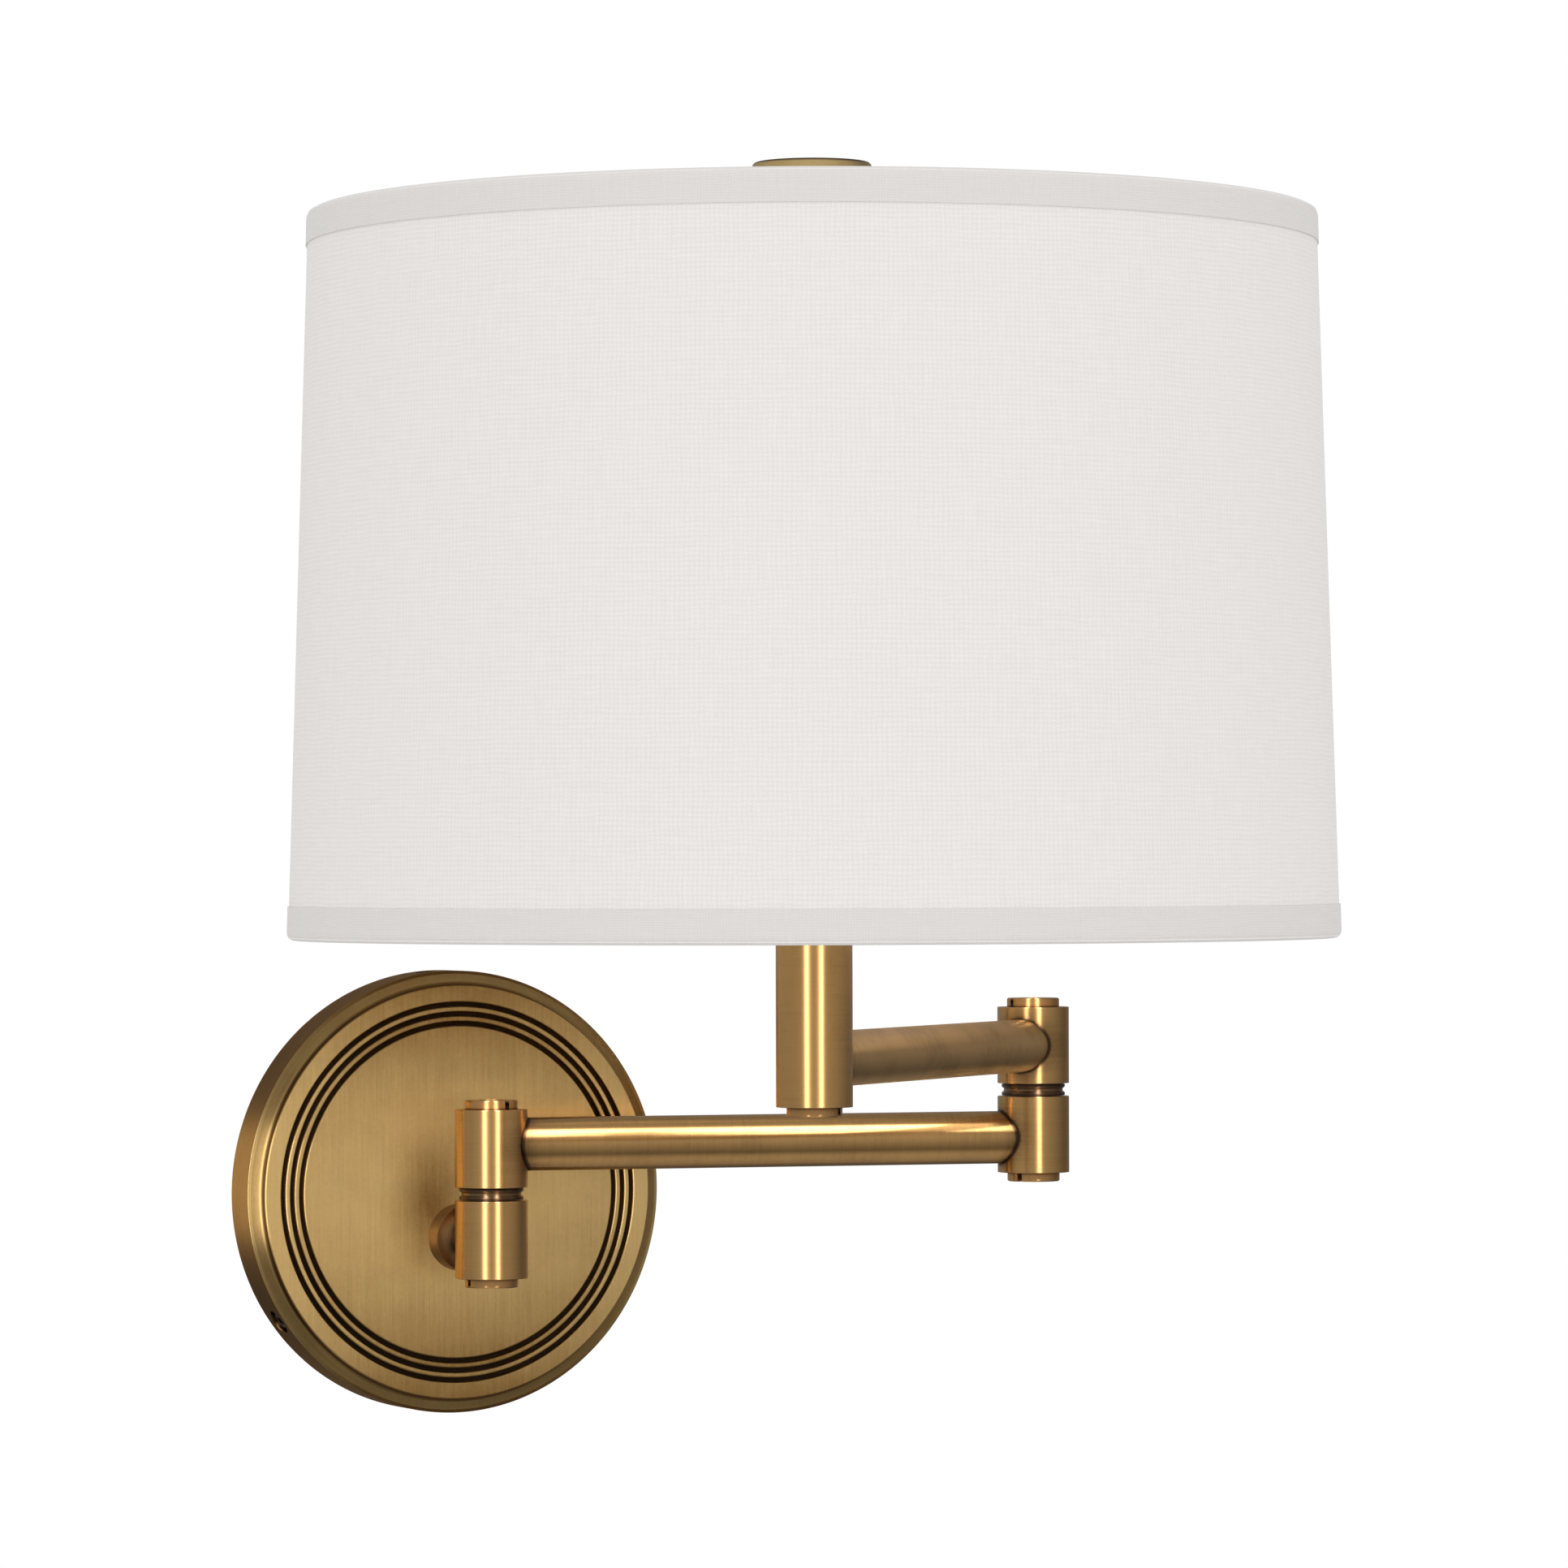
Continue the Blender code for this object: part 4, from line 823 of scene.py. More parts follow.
def build_rim_screw(number, angle):
    """Grub screw: chamfered end, plain flank, and a hexagonal socket three millimetres deep."""
    outward = np.array([math.cos(angle), 0, math.sin(angle)])
    side = np.array([-math.sin(angle), 0, math.cos(angle)])
    tip = outward * (PLATE_RADIUS - 9.3 * MM) + np.array([0, -HOLE_OUT, 0])
    outline = np.array([
        (0, 0), (1.5, 0), (3.0, 1.5), (3.0, 8.0), (2.6, 8.5), (1.75, 8.5), (1.6, 8.35), (1.6, 5.5), (0, 5.5),
    ]) * MM
    hexed = [0, 0, 0, 0, 0, 1, 1, 1, 0]
    piece = screw_or_nut(f"grub_screw_{number}", outline, hexed, tip, np.array([side, -Y, outward]))
    return fit(piece, BLACK_STEEL, "black_steel", "wall_mount", f"rim_screw_{number}", boxes=False)


for number, angle in enumerate(HOLE_ANGLES, 1):
    build_rim_screw(number, angle)


# %% Ground screw and the post's nut
def build_ground_screw():
    """Hexagonal washer head over its shank."""
    low, high = ends("ground_screw")
    centre = (low + high) / 2 * (1, 0, 1)
    start, end = -high[1], -low[1]
    outline = [
        (0, end), (2.9 * MM, end), (3.3 * MM, end - 0.3 * MM), (3.3 * MM, end - 2.0 * MM),
        (4.6 * MM, end - 2.2 * MM), (4.6 * MM, end - 3.0 * MM), (2.0 * MM, end - 3.0 * MM),
        (2.0 * MM, start), (0, start),
    ]
    piece = screw_or_nut("ground_screw_head", outline, [0, 0, 1, 1, 0, 0, 0, 0, 0], centre, OUTWARD)
    return fit(piece, GREEN_SCREW, "green", "wall_mount", "ground_screw")


def build_washer():
    """A flat ring with eased edges."""
    low, high = ends("post_washer")
    start, end = -high[1], -low[1]
    outline = eased([(9.6 * MM, end), (9.6 * MM, start), (5.3 * MM, start), (5.3 * MM, end)], 0.2 * MM)
    piece = turned("flat_washer", outline, POST_CENTRE, OUTWARD, sides=96)
    return fit(piece, ZINC_STEEL, "steel", "wall_mount", "post_washer")


build_ground_screw()
build_washer()

# %% [markdown]
# ## Steel that stays as it is
#
# The bracket behind the plate, the hollow stems, their nuts and spring washers, and the
# nipples are flat or hidden, and the model's own pieces are right. They only get a finish.

# %% Finishes for the model's own steel
KEPT_STEEL = (
    "mounting_ring", "post_nipple", "post_nut", "wall_stem", "wall_spring_washer", "wall_nut",
    "elbow_stem", "elbow_spring_washer", "elbow_nut", "socket_nut", "socket_nipple",
)


def refinish(look, *nodes):
    """Puts a finish in every material slot of pieces of the model."""
    for node in nodes:
        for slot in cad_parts[node].material_slots:
            slot.material = look
        SHADING.objects.link(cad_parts[node])


refinish(ZINC_STEEL, *KEPT_STEEL)
print("kept as they are:", len(KEPT_STEEL))

# %% [markdown]
# ## The post
#
# It stands on the plate with a thick flange, dishes in to a neck, and runs into the side of
# the lower barrel. In the lamp the two are brazed, so the neck goes a little way into the
# barrel's wall.

# %% The post
def seam_patina(point, direction, radius, reach=0.5 * MM, strength=0.8):
    """Dark where a surface comes near a round piece: two bell curves of the distance to its skin."""
    direction = np.asarray(direction, float) / np.linalg.norm(direction)

    def patina_and_shade(grid):
        offset = grid - point
        along = offset @ direction
        distance = np.linalg.norm(offset - along[..., None] * direction, axis=-1) - radius
        near = np.exp(-((np.maximum(distance, 0) / reach) ** 2))
        around = np.exp(-((np.maximum(distance, 0) / (6 * reach)) ** 2))
        return (strength * near + 0.22 * around * (1 - near)) * (along > 0)

    return patina_and_shade


BARREL_RADIUS, POST_NECK = 11.6 * MM, 6.6 * MM


def build_post():
    """Flange, dished shoulder as a quarter wave, and neck, from the plate into the barrel."""
    foot, flange, edge, tip = PLATE_DEPTH + 0.05 * MM, 26.0 * MM, 10.3 * MM, 36.4 * MM
    wave = np.linspace(0, 1, 14)
    dish_radius = edge - (edge - POST_NECK) * np.sin(wave * math.pi / 2)
    dish = np.stack([dish_radius, flange + 3.0 * MM * wave**2.2], -1)
    rim = eased([(0, foot), (10.8 * MM, foot), (10.8 * MM, flange), (edge, flange)], 0.25 * MM, closed=False)
    neck = [(POST_NECK, 35.6 * MM), (POST_NECK, tip), (0, tip)]
    outline = filled(np.concatenate([[(0, foot)], rim[1:], dish[1:], neck]), 0.9 * MM, closed=False)
    barrel = seam_patina(WALL_AXIS - Z, Z, BARREL_RADIUS)

    def patina_and_shade(grid):
        # Painted shade: the dish is darkened all over, most in a band round its middle.
        dish_shade = 0.16 + 0.44 * np.exp(-(((-grid[..., 1] - 29.5 * MM) / (3.2 * MM)) ** 2))
        return np.maximum(barrel(grid), dish_shade)

    piece = turned("wall_post_turned", outline, POST_CENTRE, OUTWARD, 144, patina_and_shade, closed=False)
    return fit(piece, TURNED_BRASS, "brass", "wall_mount", "wall_post", boxes=False)


build_post()

# %% [markdown]
# ## Barrels, spacers and caps
#
# Each knuckle is two barrels on one hollow stem with a thin dark ring between them. A barrel
# is a bored tube with a web at the inner end. The caps that close the outer ends have a slot
# for a broad screwdriver, a shape that no lathe makes in one go, so a cap is built from
# slices instead: cut across the slot, each slice is a rectangle whose half width at a depth y
# is the square root of radius² - y².

# %% Barrels
BARREL_BORE, STEM_BORE, WEB = 8.75 * MM, 5.3 * MM, 4.0 * MM


def build_barrel(node, body, axis, web_at_top, patina_and_shade):
    """Outer wall, open end, bore, web and stem hole, all joined into one ring of outline."""
    low, high = ends(node)
    web_end, open_end = (high[2], low[2]) if web_at_top else (low[2], high[2])
    inner_web = web_end + WEB * (-1 if web_at_top else 1)
    corners = [
        (BARREL_RADIUS, open_end), (BARREL_RADIUS, web_end), (STEM_BORE, web_end),
        (STEM_BORE, inner_web), (BARREL_BORE, inner_web), (BARREL_BORE, open_end),
    ]
    piece = turned("turned_" + node, filled(eased(corners), 0.8 * MM), axis, patina_and_shade=patina_and_shade, sides=176)
    return fit(piece, TURNED_BRASS, "brass", body, node)


INNER_ARM_HEIGHT, OUTER_ARM_HEIGHT = middle("inner_arm")[2], middle("outer_arm")[2]
INNER_ARM_RUN, OUTER_ARM_RUN = ELBOW_AXIS - WALL_AXIS, COLUMN_AXIS - ELBOW_AXIS
ARM_RADIUS = 8.5 * MM


def arm_seam(axis, height, run):
    """Dark where an arm that runs off an axis at a height meets the barrel or column there."""
    return seam_patina(axis + Z * height, run, ARM_RADIUS)


POST_SEAM = seam_patina(WALL_AXIS + POST_CENTRE * (0, 0, 1), Y, POST_NECK)
WALL_SEAM = arm_seam(WALL_AXIS, INNER_ARM_HEIGHT, INNER_ARM_RUN)
LOW_ELBOW_SEAM = arm_seam(ELBOW_AXIS, INNER_ARM_HEIGHT, -INNER_ARM_RUN)
HIGH_ELBOW_SEAM = arm_seam(ELBOW_AXIS, OUTER_ARM_HEIGHT, OUTER_ARM_RUN)
build_barrel("wall_lower_barrel", "wall_mount", WALL_AXIS, True, POST_SEAM)
build_barrel("wall_upper_barrel", "inner_arm", WALL_AXIS, False, WALL_SEAM)
build_barrel("elbow_lower_barrel", "inner_arm", ELBOW_AXIS, True, LOW_ELBOW_SEAM)
build_barrel("elbow_upper_barrel", "lamp_arm", ELBOW_AXIS, False, HIGH_ELBOW_SEAM)


# %% Spacers
def build_spacer(node, body, axis):
    """A dark ring with a shallow V groove round its middle."""
    low, high = ends(node)
    centre, half = (low[2] + high[2]) / 2, (high[2] - low[2]) / 2
    wide, waist = 10.25 * MM, 9.55 * MM
    corners = [
        (wide, centre + half), (wide, centre + half * 0.5), (waist, centre + half * 0.22),
        (waist, centre - half * 0.22), (wide, centre - half * 0.5), (wide, centre - half),
        (STEM_BORE, centre - half), (STEM_BORE, centre + half),
    ]
    # Painted shade: the ring darkens towards both ends, where it meets the barrels.
    edges = lambda grid: 0.45 * np.clip((np.abs(grid[..., 2] - centre) / half - 0.35) / 0.4, 0, 1)
    piece = turned("turned_" + node, filled(eased(corners, 0.12 * MM), 0.5 * MM), axis, patina_and_shade=edges)
    return fit(piece, DARK_BRASS, "dark_brass", body, node)


build_spacer("wall_spacer", "wall_mount", WALL_AXIS)
build_spacer("elbow_spacer", "inner_arm", ELBOW_AXIS)

# %% Caps with their slots
CAP_RADIUS, SLOT_HALF, SLOT_DEPTH, CAP_EASE = 8.45 * MM, 0.8 * MM, 1.5 * MM, 0.35 * MM


def slot_rows(radius):
    """Depths y of the slices: closer at the two ends, and one on each edge of the slot."""
    outer = radius * np.sin(np.linspace(math.asin(1.05 * SLOT_HALF / radius), math.pi / 2, 40))
    near = SLOT_HALF * np.array([0.6, 0.93, 0.96, 1.0, 1.03])
    side = np.concatenate([near, np.maximum(outer, SLOT_HALF * 1.05)])
    return np.concatenate([-side[::-1], side])


def cap_grid(radius, face, inner, outward):
    """Slices across the slot; a row holds the top, right flank, bottom and left flank of one."""
    y = slot_rows(radius)[:, None]
    from_face = np.maximum(0, np.abs(y) - (radius - CAP_EASE))
    in_slot = np.clip((SLOT_HALF - np.abs(y)) / (0.05 * SLOT_HALF), 0, 1)
    slot_edge = np.clip((SLOT_HALF * 1.05 - np.abs(y)) / (0.05 * SLOT_HALF), 0, 1) * 0.06 * MM
    top = np.maximum(from_face, np.maximum(in_slot * SLOT_DEPTH, slot_edge))
    across = np.sin(np.linspace(-1, 1, 41) * math.pi / 2)[None]
    flank = np.linspace(CAP_EASE, abs(face - inner), 12)
    drops = np.concatenate([np.linspace(0, CAP_EASE, 5), flank[1:]])[None]
    flank_drop = np.maximum(drops, top)

    def half_width(drop):
        wide = radius - np.maximum(0, CAP_EASE - drop)
        return np.sqrt(np.maximum(wide**2 - y**2, 0))

    top_x, top_drop = across * half_width(top), top + 0 * across
    right_x, left_x = half_width(flank_drop), -half_width(flank_drop)[:, ::-1]
    bottom_x = -across * half_width(flank_drop[:, -1:])
    bottom_drop = flank_drop[:, -1:] + 0 * across
    x = np.concatenate([top_x, right_x[:, 1:], bottom_x[:, 1:], left_x[:, 1:-1]], 1)
    left_drop = flank_drop[:, ::-1]
    drop = np.concatenate([top_drop, flank_drop[:, 1:], bottom_drop[:, 1:], left_drop[:, 1:-1]], 1)
    return np.stack([x, y + 0 * x, face - outward * drop], -1)


def merge_slices(piece):
    """Closes the two end slices, whose points meet, by merging points that lie together."""
    mesh = bmesh.new()
    mesh.from_mesh(piece.data)
    bmesh.ops.remove_doubles(mesh, verts=mesh.verts, dist=0.002 * MM)
    bmesh.ops.dissolve_degenerate(mesh, edges=mesh.edges, dist=0.001 * MM)
    bmesh.ops.recalc_face_normals(mesh, faces=mesh.faces)
    mesh.to_mesh(piece.data)
    mesh.free()
    piece.data.set_sharp_from_angle(angle=SHARP_EDGE)


def build_cap(node, body, axis, slot_angle, outward):
    """The slices turned to the slot's angle and put on the axis; the slot itself is nearly black."""
    low, high = ends(node)
    face, inner = (high[2], low[2]) if outward > 0 else (low[2], high[2])
    local = cap_grid(CAP_RADIUS, face, inner, outward)
    angle = math.radians(slot_angle)
    first = np.array([math.cos(angle), math.sin(angle), 0])
    second = np.array([-math.sin(angle), math.cos(angle), 0])
    grid = axis + local[..., :1] * first + local[..., 1:2] * second + local[..., 2:] * Z
    below = outward * (face - local[..., 2])
    sunk = np.where(np.abs(local[..., 1]) < SLOT_HALF * 0.98, 0.95, 0.0)
    foot = 0.7 * np.clip((below - 2.2 * MM) / (0.6 * MM), 0, 1)
    piece = skin("slotted_" + node, grid, round_unwrap(axis, UPRIGHT, CAP_RADIUS), np.maximum(sunk, foot))
    merge_slices(piece)
    return fit(piece, CAP_BRASS, "cap_brass", body, node)


build_cap("wall_bottom_cap", "wall_mount", WALL_AXIS, -170.0, -1)
build_cap("wall_top_cap", "inner_arm", WALL_AXIS, -75.9, 1)
build_cap("elbow_bottom_cap", "inner_arm", ELBOW_AXIS, 31.1, -1)
build_cap("elbow_top_cap", "lamp_arm", ELBOW_AXIS, 188.7, 1)
build_cap("column_cap", "lamp_arm", COLUMN_AXIS, -53.0, -1)

# %% [markdown]
# ## The arms
#
# Both arms are plain brass tubes, cut at the ends to hug the barrels. At an angle a round the
# tube, its skin lies ARM_RADIUS·sin a to the side of the arm's middle, so it meets a barrel
# of radius R where x is the square root of R² - (ARM_RADIUS·sin a)². The tube goes a hair
# further, into the barrel's wall, as a brazed joint does.

# %% Arms
ARM_BORE = 7.0 * MM


def coped_ends(radius, angles, length, reach):
    """Where each line along the tube starts and ends, on the two barrels."""
    cut = np.sqrt(reach**2 - (radius * np.sin(angles)) ** 2)
    return cut, length - cut


def build_arm(node, body, start, run, height):
    """Rows run from one cope to the other outside, and back inside the bore."""
    length = float(np.linalg.norm(run))
    along = run / length
    side = np.cross(Z, along)
    angles = angles_round(144)
    fine = np.linspace(0, 0.06, 14)
    share = np.concatenate([fine, np.linspace(0.06, 0.94, 60)[1:-1], np.linspace(0.94, 1, 14)])[:, None]

    def wall(radius):
        low, high = coped_ends(radius, angles, length, BARREL_RADIUS - 0.25 * MM)
        x = low + (high - low) * share
        spoke = side * np.sin(angles)[:, None] + Z * np.cos(angles)[:, None]
        return start + Z * height + x[..., None] * along + radius * spoke

    outer, inner = wall(ARM_RADIUS), wall(ARM_BORE)
    grid = np.concatenate([outer, inner[::-1]])
    seams = [seam_patina(axis - Z, Z, BARREL_RADIUS)(grid) for axis in (start, start + run)]
    unwrap = round_unwrap(start + Z * height, np.array([Z, side, along]), ARM_RADIUS)
    piece = skin("brass_" + node, grid, unwrap, np.maximum(*seams) + 0.04, ring=True)
    lit = node == "inner_arm"
    return fit(piece, TURNED_BRASS if lit else ARM_BRASS, "brass", body, node, boxes=lit)


build_arm("inner_arm", "inner_arm", WALL_AXIS, INNER_ARM_RUN, INNER_ARM_HEIGHT)
build_arm("outer_arm", "lamp_arm", ELBOW_AXIS, OUTER_ARM_RUN, OUTER_ARM_HEIGHT)

# %% [markdown]
# ## The column and its plug
#
# A short tube stands on the end of the outer arm. A plug with a thin flange closes its top
# and carries everything above: the harp's saddle and the socket.

# %% Column
def build_column():
    """A bored tube with eased ends."""
    low, high = ends("column")
    corners = [
        (BARREL_RADIUS, high[2]), (BARREL_RADIUS, low[2]), (BARREL_BORE, low[2]), (BARREL_BORE, high[2]),
    ]
    patina_and_shade = arm_seam(COLUMN_AXIS, OUTER_ARM_HEIGHT, -OUTER_ARM_RUN)
    piece = turned("turned_column", filled(eased(corners), 0.8 * MM), COLUMN_AXIS, patina_and_shade=patina_and_shade, sides=176)
    return fit(piece, TURNED_BRASS, "brass", "lamp_arm", "column")


def build_plug():
    """Flange and spigot with the nipple's bore."""
    low, high = ends("column_plug")
    under = high[2] - 2.0 * MM
    corners = [
        (BARREL_RADIUS, high[2]), (BARREL_RADIUS, under), (CAP_RADIUS, under), (CAP_RADIUS, low[2]),
        (STEM_BORE, low[2]), (STEM_BORE, high[2]),
    ]
    piece = turned("turned_column_plug", eased(corners, 0.3 * MM), COLUMN_AXIS)
    return fit(piece, TURNED_BRASS, "brass", "lamp_arm", "column_plug")


build_column()
build_plug()

# %% [markdown]
# ## Harp and saddle
#
# The harp is a springy brass wire that carries the shade. Its feet stand in two sleeves on a
# bent strip, the saddle. A wire is a circle carried along a path: at each point of the path
# the circle lies square to it, and since the path stays in one plane, the plane's normal is
# always one of the circle's two directions.

# %% Wires
def bezier(start, handle, far_handle, end, count):
    """Points of (1-t)³·start + 3t(1-t)²·handle + 3t²(1-t)·far_handle + t³·end."""
    start, handle, far_handle, end = np.array([start, handle, far_handle, end])
    t = np.linspace(0, 1, count)[:, None]
    first_half = (1 - t) ** 3 * start + 3 * t * (1 - t) ** 2 * handle
    return first_half + 3 * t**2 * (1 - t) * far_handle + t**3 * end


def wire(name, path, normal, radius, sides=20, closed=False):
    """A circle carried along a path in a plane. Open ends are rounded with two smaller circles."""
    if closed:
        direction = np.roll(path, -1, 0) - np.roll(path, 1, 0)
    else:
        direction = np.gradient(path, axis=0)
    direction = direction / np.linalg.norm(direction, axis=1, keepdims=True)
    size = np.full(len(path), radius)
    if not closed:
        tip = radius * 0.3
        first, last = direction[:1], direction[-1:]
        before, after = path[:1] - first * tip, path[-1:] + last * tip
        path = np.concatenate([before, before, path, after, after])
        direction = np.concatenate([first, first, direction, last, last])
        size = np.concatenate([[0, radius * 0.75], size, [radius * 0.75, 0]])
    across = np.cross(direction, normal)
    angles = angles_round(sides)
    cosine, sine = np.cos(angles)[None, :, None], np.sin(angles)[None, :, None]
    circle = cosine * across[:, None] + sine * np.asarray(normal)[None, None]
    return skin(name, path[:, None] + circle * size[:, None, None], ring=closed)


def harp_path():
    """Up one side in two sweeps, over the narrow top, and down the other side."""
    low, high = ends("harp")
    foot, crown, widest = low[2] + 1.0 * MM, high[2] - 1.7 * MM, 196 * MM
    base, belly, top = 28 * MM, 57 * MM, 8 * MM
    lower = bezier((base, foot), (base, foot + 32 * MM), (belly, widest - 40 * MM), (belly, widest), 40)
    upper = bezier((belly, widest), (belly, widest + 58 * MM), (top + 26 * MM, crown), (top, crown), 48)
    side = np.concatenate([lower, upper[1:]])
    both = np.concatenate([side, side[::-1] * (-1, 1)])
    return COLUMN_AXIS + both[:, :1] * X + both[:, 1:] * Z


# %% Plain brass for wires and pressed parts
def pressed_brass(name, clean, stained, smooth, rough):
    """Brass that was drawn or pressed: no brush lines, only faint clouds and fingermarks."""
    material, tree, shader = new_material(name)
    place = object_place(tree)
    metal = place_group(
        tree, AGED_METAL, Place=place, Patina=0.06, Tone=0.5, Clean=(*clean, 1), Brown=(*stained, 1),
        Black=(*BLACK, 1), Cloud=0.35, Smooth=smooth, Rough=rough,
    )
    join(tree, metal["Color"], shader.inputs["Base Color"])
    join(tree, metal["Roughness"], shader.inputs["Roughness"])
    shader.inputs["Metallic"].default_value = 1.0
    raise_normal(tree, noise(tree, place, 700.0, 3.0), shader, 0.05, FINE_RELIEF)
    return material


PRESSED_BRASS = pressed_brass("pressed_brass", (0.80, 0.56, 0.25), (0.36, 0.22, 0.10), 0.22, 0.45)
fit(wire("harp_wire", harp_path(), Y, 1.7 * MM), PRESSED_BRASS, "brass", "lamp_arm", "harp")


# %% Ferrules and saddle
def build_ferrule(node):
    """A short tube, its upper edge rolled in a little."""
    low, high = ends(node)
    outer, bore = 4.3 * MM, 3.4 * MM
    corners = [
        (outer, low[2]), (bore, low[2]), (bore, high[2]), (3.9 * MM, high[2]), (outer, high[2] - 1.2 * MM),
    ]
    piece = turned("rolled_" + node, eased(corners, 0.25 * MM), plan(node), sides=64)
    return fit(piece, PRESSED_BRASS, "brass", "lamp_arm", node)


def build_saddle():
    """A strip carried along its bent middle line: a tab up, across, and a tab up.

    The line's two corners are eased, the strip narrows from its full width to the tabs', and
    each cross-section is a rectangle with eased corners.
    """
    low, high = ends("harp_saddle")
    half, thickness = half_across("harp_saddle"), 2.0 * MM
    reach, foot, tip = half - thickness / 2, low[2] + thickness / 2, high[2]
    line = np.array([(-reach, tip), (-reach, foot), (reach, foot), (reach, tip)])
    line = filled(eased(line, 1.6 * MM, 8, closed=False), 1.0 * MM, closed=False)
    direction = np.gradient(line, axis=0)
    direction /= np.linalg.norm(direction, axis=1, keepdims=True)
    outward = np.stack([direction[:, 1], -direction[:, 0]], -1)
    risen = np.clip((line[:, 1] - foot - 0.2 * MM) / (1.6 * MM), 0, 1)
    width = 6.0 * MM + (2.2 - 6.0) * MM * risen * risen * (3 - 2 * risen)
    section = eased([(-1, -1), (1, -1), (1, 1), (-1, 1)], 0.25, 3)
    offset = section[None, :, 1] * thickness / 2 * np.ones((len(line), 1))
    sideways = section[None, :, 0] * width[:, None]
    flat = line[:, None] + offset[..., None] * outward[:, None]
    grid = COLUMN_AXIS + flat[..., :1] * X + sideways[..., None] * Y + flat[..., 1:] * Z
    middles = grid.mean(1, keepdims=True)
    first, last = (np.repeat(row, grid.shape[1], 1) for row in (middles[:1], middles[-1:]))
    grid = np.concatenate([first, grid, last])
    return fit(skin("bent_saddle", grid), PRESSED_BRASS, "brass", "lamp_arm", "harp_saddle")


build_ferrule("harp_ferrule_left")
build_ferrule("harp_ferrule_right")
build_saddle()

# %% [markdown]
# ## Socket and bulb
#
# The socket is pressed from thin brass: a cap like a small bell, and a shell with beads
# rolled round it where the two lock together. Inside are a card sleeve, a dark moulded body
# and the threaded shell. The bulb is a small opal globe. Its lower end, and the switch on the
# front of the socket, can be seen from below.

# %% Socket
def build_socket_cap():
    """A thin bell: the outline goes up outside and down inside."""
    low, high = ends("socket_cap")
    foot, rim, sheet = low[2], high[2], 0.8 * MM
    turn = np.linspace(0, 1, 12) * math.pi / 2
    bell = np.stack([(9.0 + 7.2 * np.sin(turn)) * MM, foot + 8.0 * MM * (1 - np.cos(turn))], -1)
    inner = np.stack([bell[::-1, 0] - sheet, np.maximum(bell[::-1, 1], foot + sheet)], -1)
    mouth, hole = [(16.2 * MM, rim), (15.4 * MM, rim)], [(STEM_BORE, foot + sheet), (STEM_BORE, foot)]
    outline = np.concatenate([bell, mouth, inner, hole])
    piece = turned("pressed_socket_cap", outline, COLUMN_AXIS, sides=128)
    return fit(piece, PRESSED_BRASS, "brass", "lamp_arm", "socket_cap")


def build_socket_shell():
    """A thin tube whose wall bulges inwards in two rolled beads, each a bell curve of height."""
    low, high = ends("socket_shell")
    height = np.linspace(low[2], high[2], 90)
    from_low, from_high = height - low[2] - 3.5 * MM, height - high[2] + 4 * MM
    bead = np.exp(-((from_low / (0.9 * MM)) ** 2)) + np.exp(-((from_high / (0.9 * MM)) ** 2))
    outer = 16.2 * MM - 0.7 * MM * bead
    thin = 0.35 * MM
    outline = np.concatenate([np.stack([outer, height], -1), np.stack([outer - thin, height], -1)[::-1]])
    piece = turned("pressed_socket_shell", outline, COLUMN_AXIS, sides=128)
    return fit(piece, PRESSED_BRASS, "brass", "lamp_arm", "socket_shell")


build_socket_cap()
build_socket_shell()


# %% Card, phenolic, aluminium and glass
def moulded(name, colour, shade, roughness, scale):
    """A dull, slightly mottled material."""
    material, tree, shader = new_material(name)
    place = object_place(tree)
    mottle = between(tree, noise(tree, place, scale, 4.0, 0.6), 0.3, 0.7)
    join(tree, mixed(tree, mottle, (*colour, 1), (*shade, 1)), shader.inputs["Base Color"])
    join(tree, between(tree, mottle, 0, 1, roughness, roughness + 0.12), shader.inputs["Roughness"])
    raise_normal(tree, noise(tree, place, scale * 6, 3.0), shader, 0.1, 0.1 * MM)
    return material


CARD = moulded("card", (0.20, 0.16, 0.12), (0.26, 0.21, 0.16), 0.75, 400.0)
PHENOLIC = moulded("phenolic", (0.018, 0.015, 0.013), (0.03, 0.024, 0.02), 0.3, 250.0)
ALUMINIUM = steel("aluminium", (0.80, 0.81, 0.82), (0.70, 0.71, 0.72), 0.25, 0.38)
refinish(CARD, "socket_sleeve")
refinish(PHENOLIC, "socket_body")


def opal_glass():
    """Milky glass: light goes in and is spread, with a hard shine on top."""
    material, tree, shader = new_material("opal_glass")
    cloud = noise(tree, object_place(tree), 40.0, 2.0)
    join(tree, mixed(tree, cloud, (0.88, 0.87, 0.84, 1), (0.92, 0.91, 0.89, 1)), shader.inputs["Base Color"])
    shader.inputs["Roughness"].default_value = 0.18
    shader.inputs["Transmission Weight"].default_value = 0.25
    shader.inputs["Coat Weight"].default_value = 0.3
    return material


OPAL_GLASS = opal_glass()


# %% Threaded shell, bulb base and globe
THREAD_PITCH = 3.6 * MM


def thread(height, angles, radius, depth, start, end):
    """radius - depth·(1 + cos(2π·height/pitch - angle))/2, fading out over its two ends."""
    fade = np.clip(np.minimum(height - start, end - height) / (1.5 * MM), 0, 1)
    return radius - depth * fade * (1 + np.cos(math.tau * height / THREAD_PITCH - angles)) / 2


def build_screw_shell():
    """A thin tube with a round thread."""
    low, high = ends("screw_shell")
    angles = angles_round(96)
    height = np.linspace(low[2], high[2], 90)[:, None]
    outer = thread(height, angles, 14.0 * MM, 0.5 * MM, low[2], high[2])
    wall_of = lambda size: COLUMN_AXIS + size[..., None] * spokes(angles) + height[..., None] * Z
    outside, inside = wall_of(outer), wall_of(outer - 0.3 * MM)
    piece = skin("threaded_screw_shell", np.concatenate([outside, inside[::-1]]), ring=True)
    return fit(piece, ALUMINIUM, "aluminium", "lamp_arm", "screw_shell")


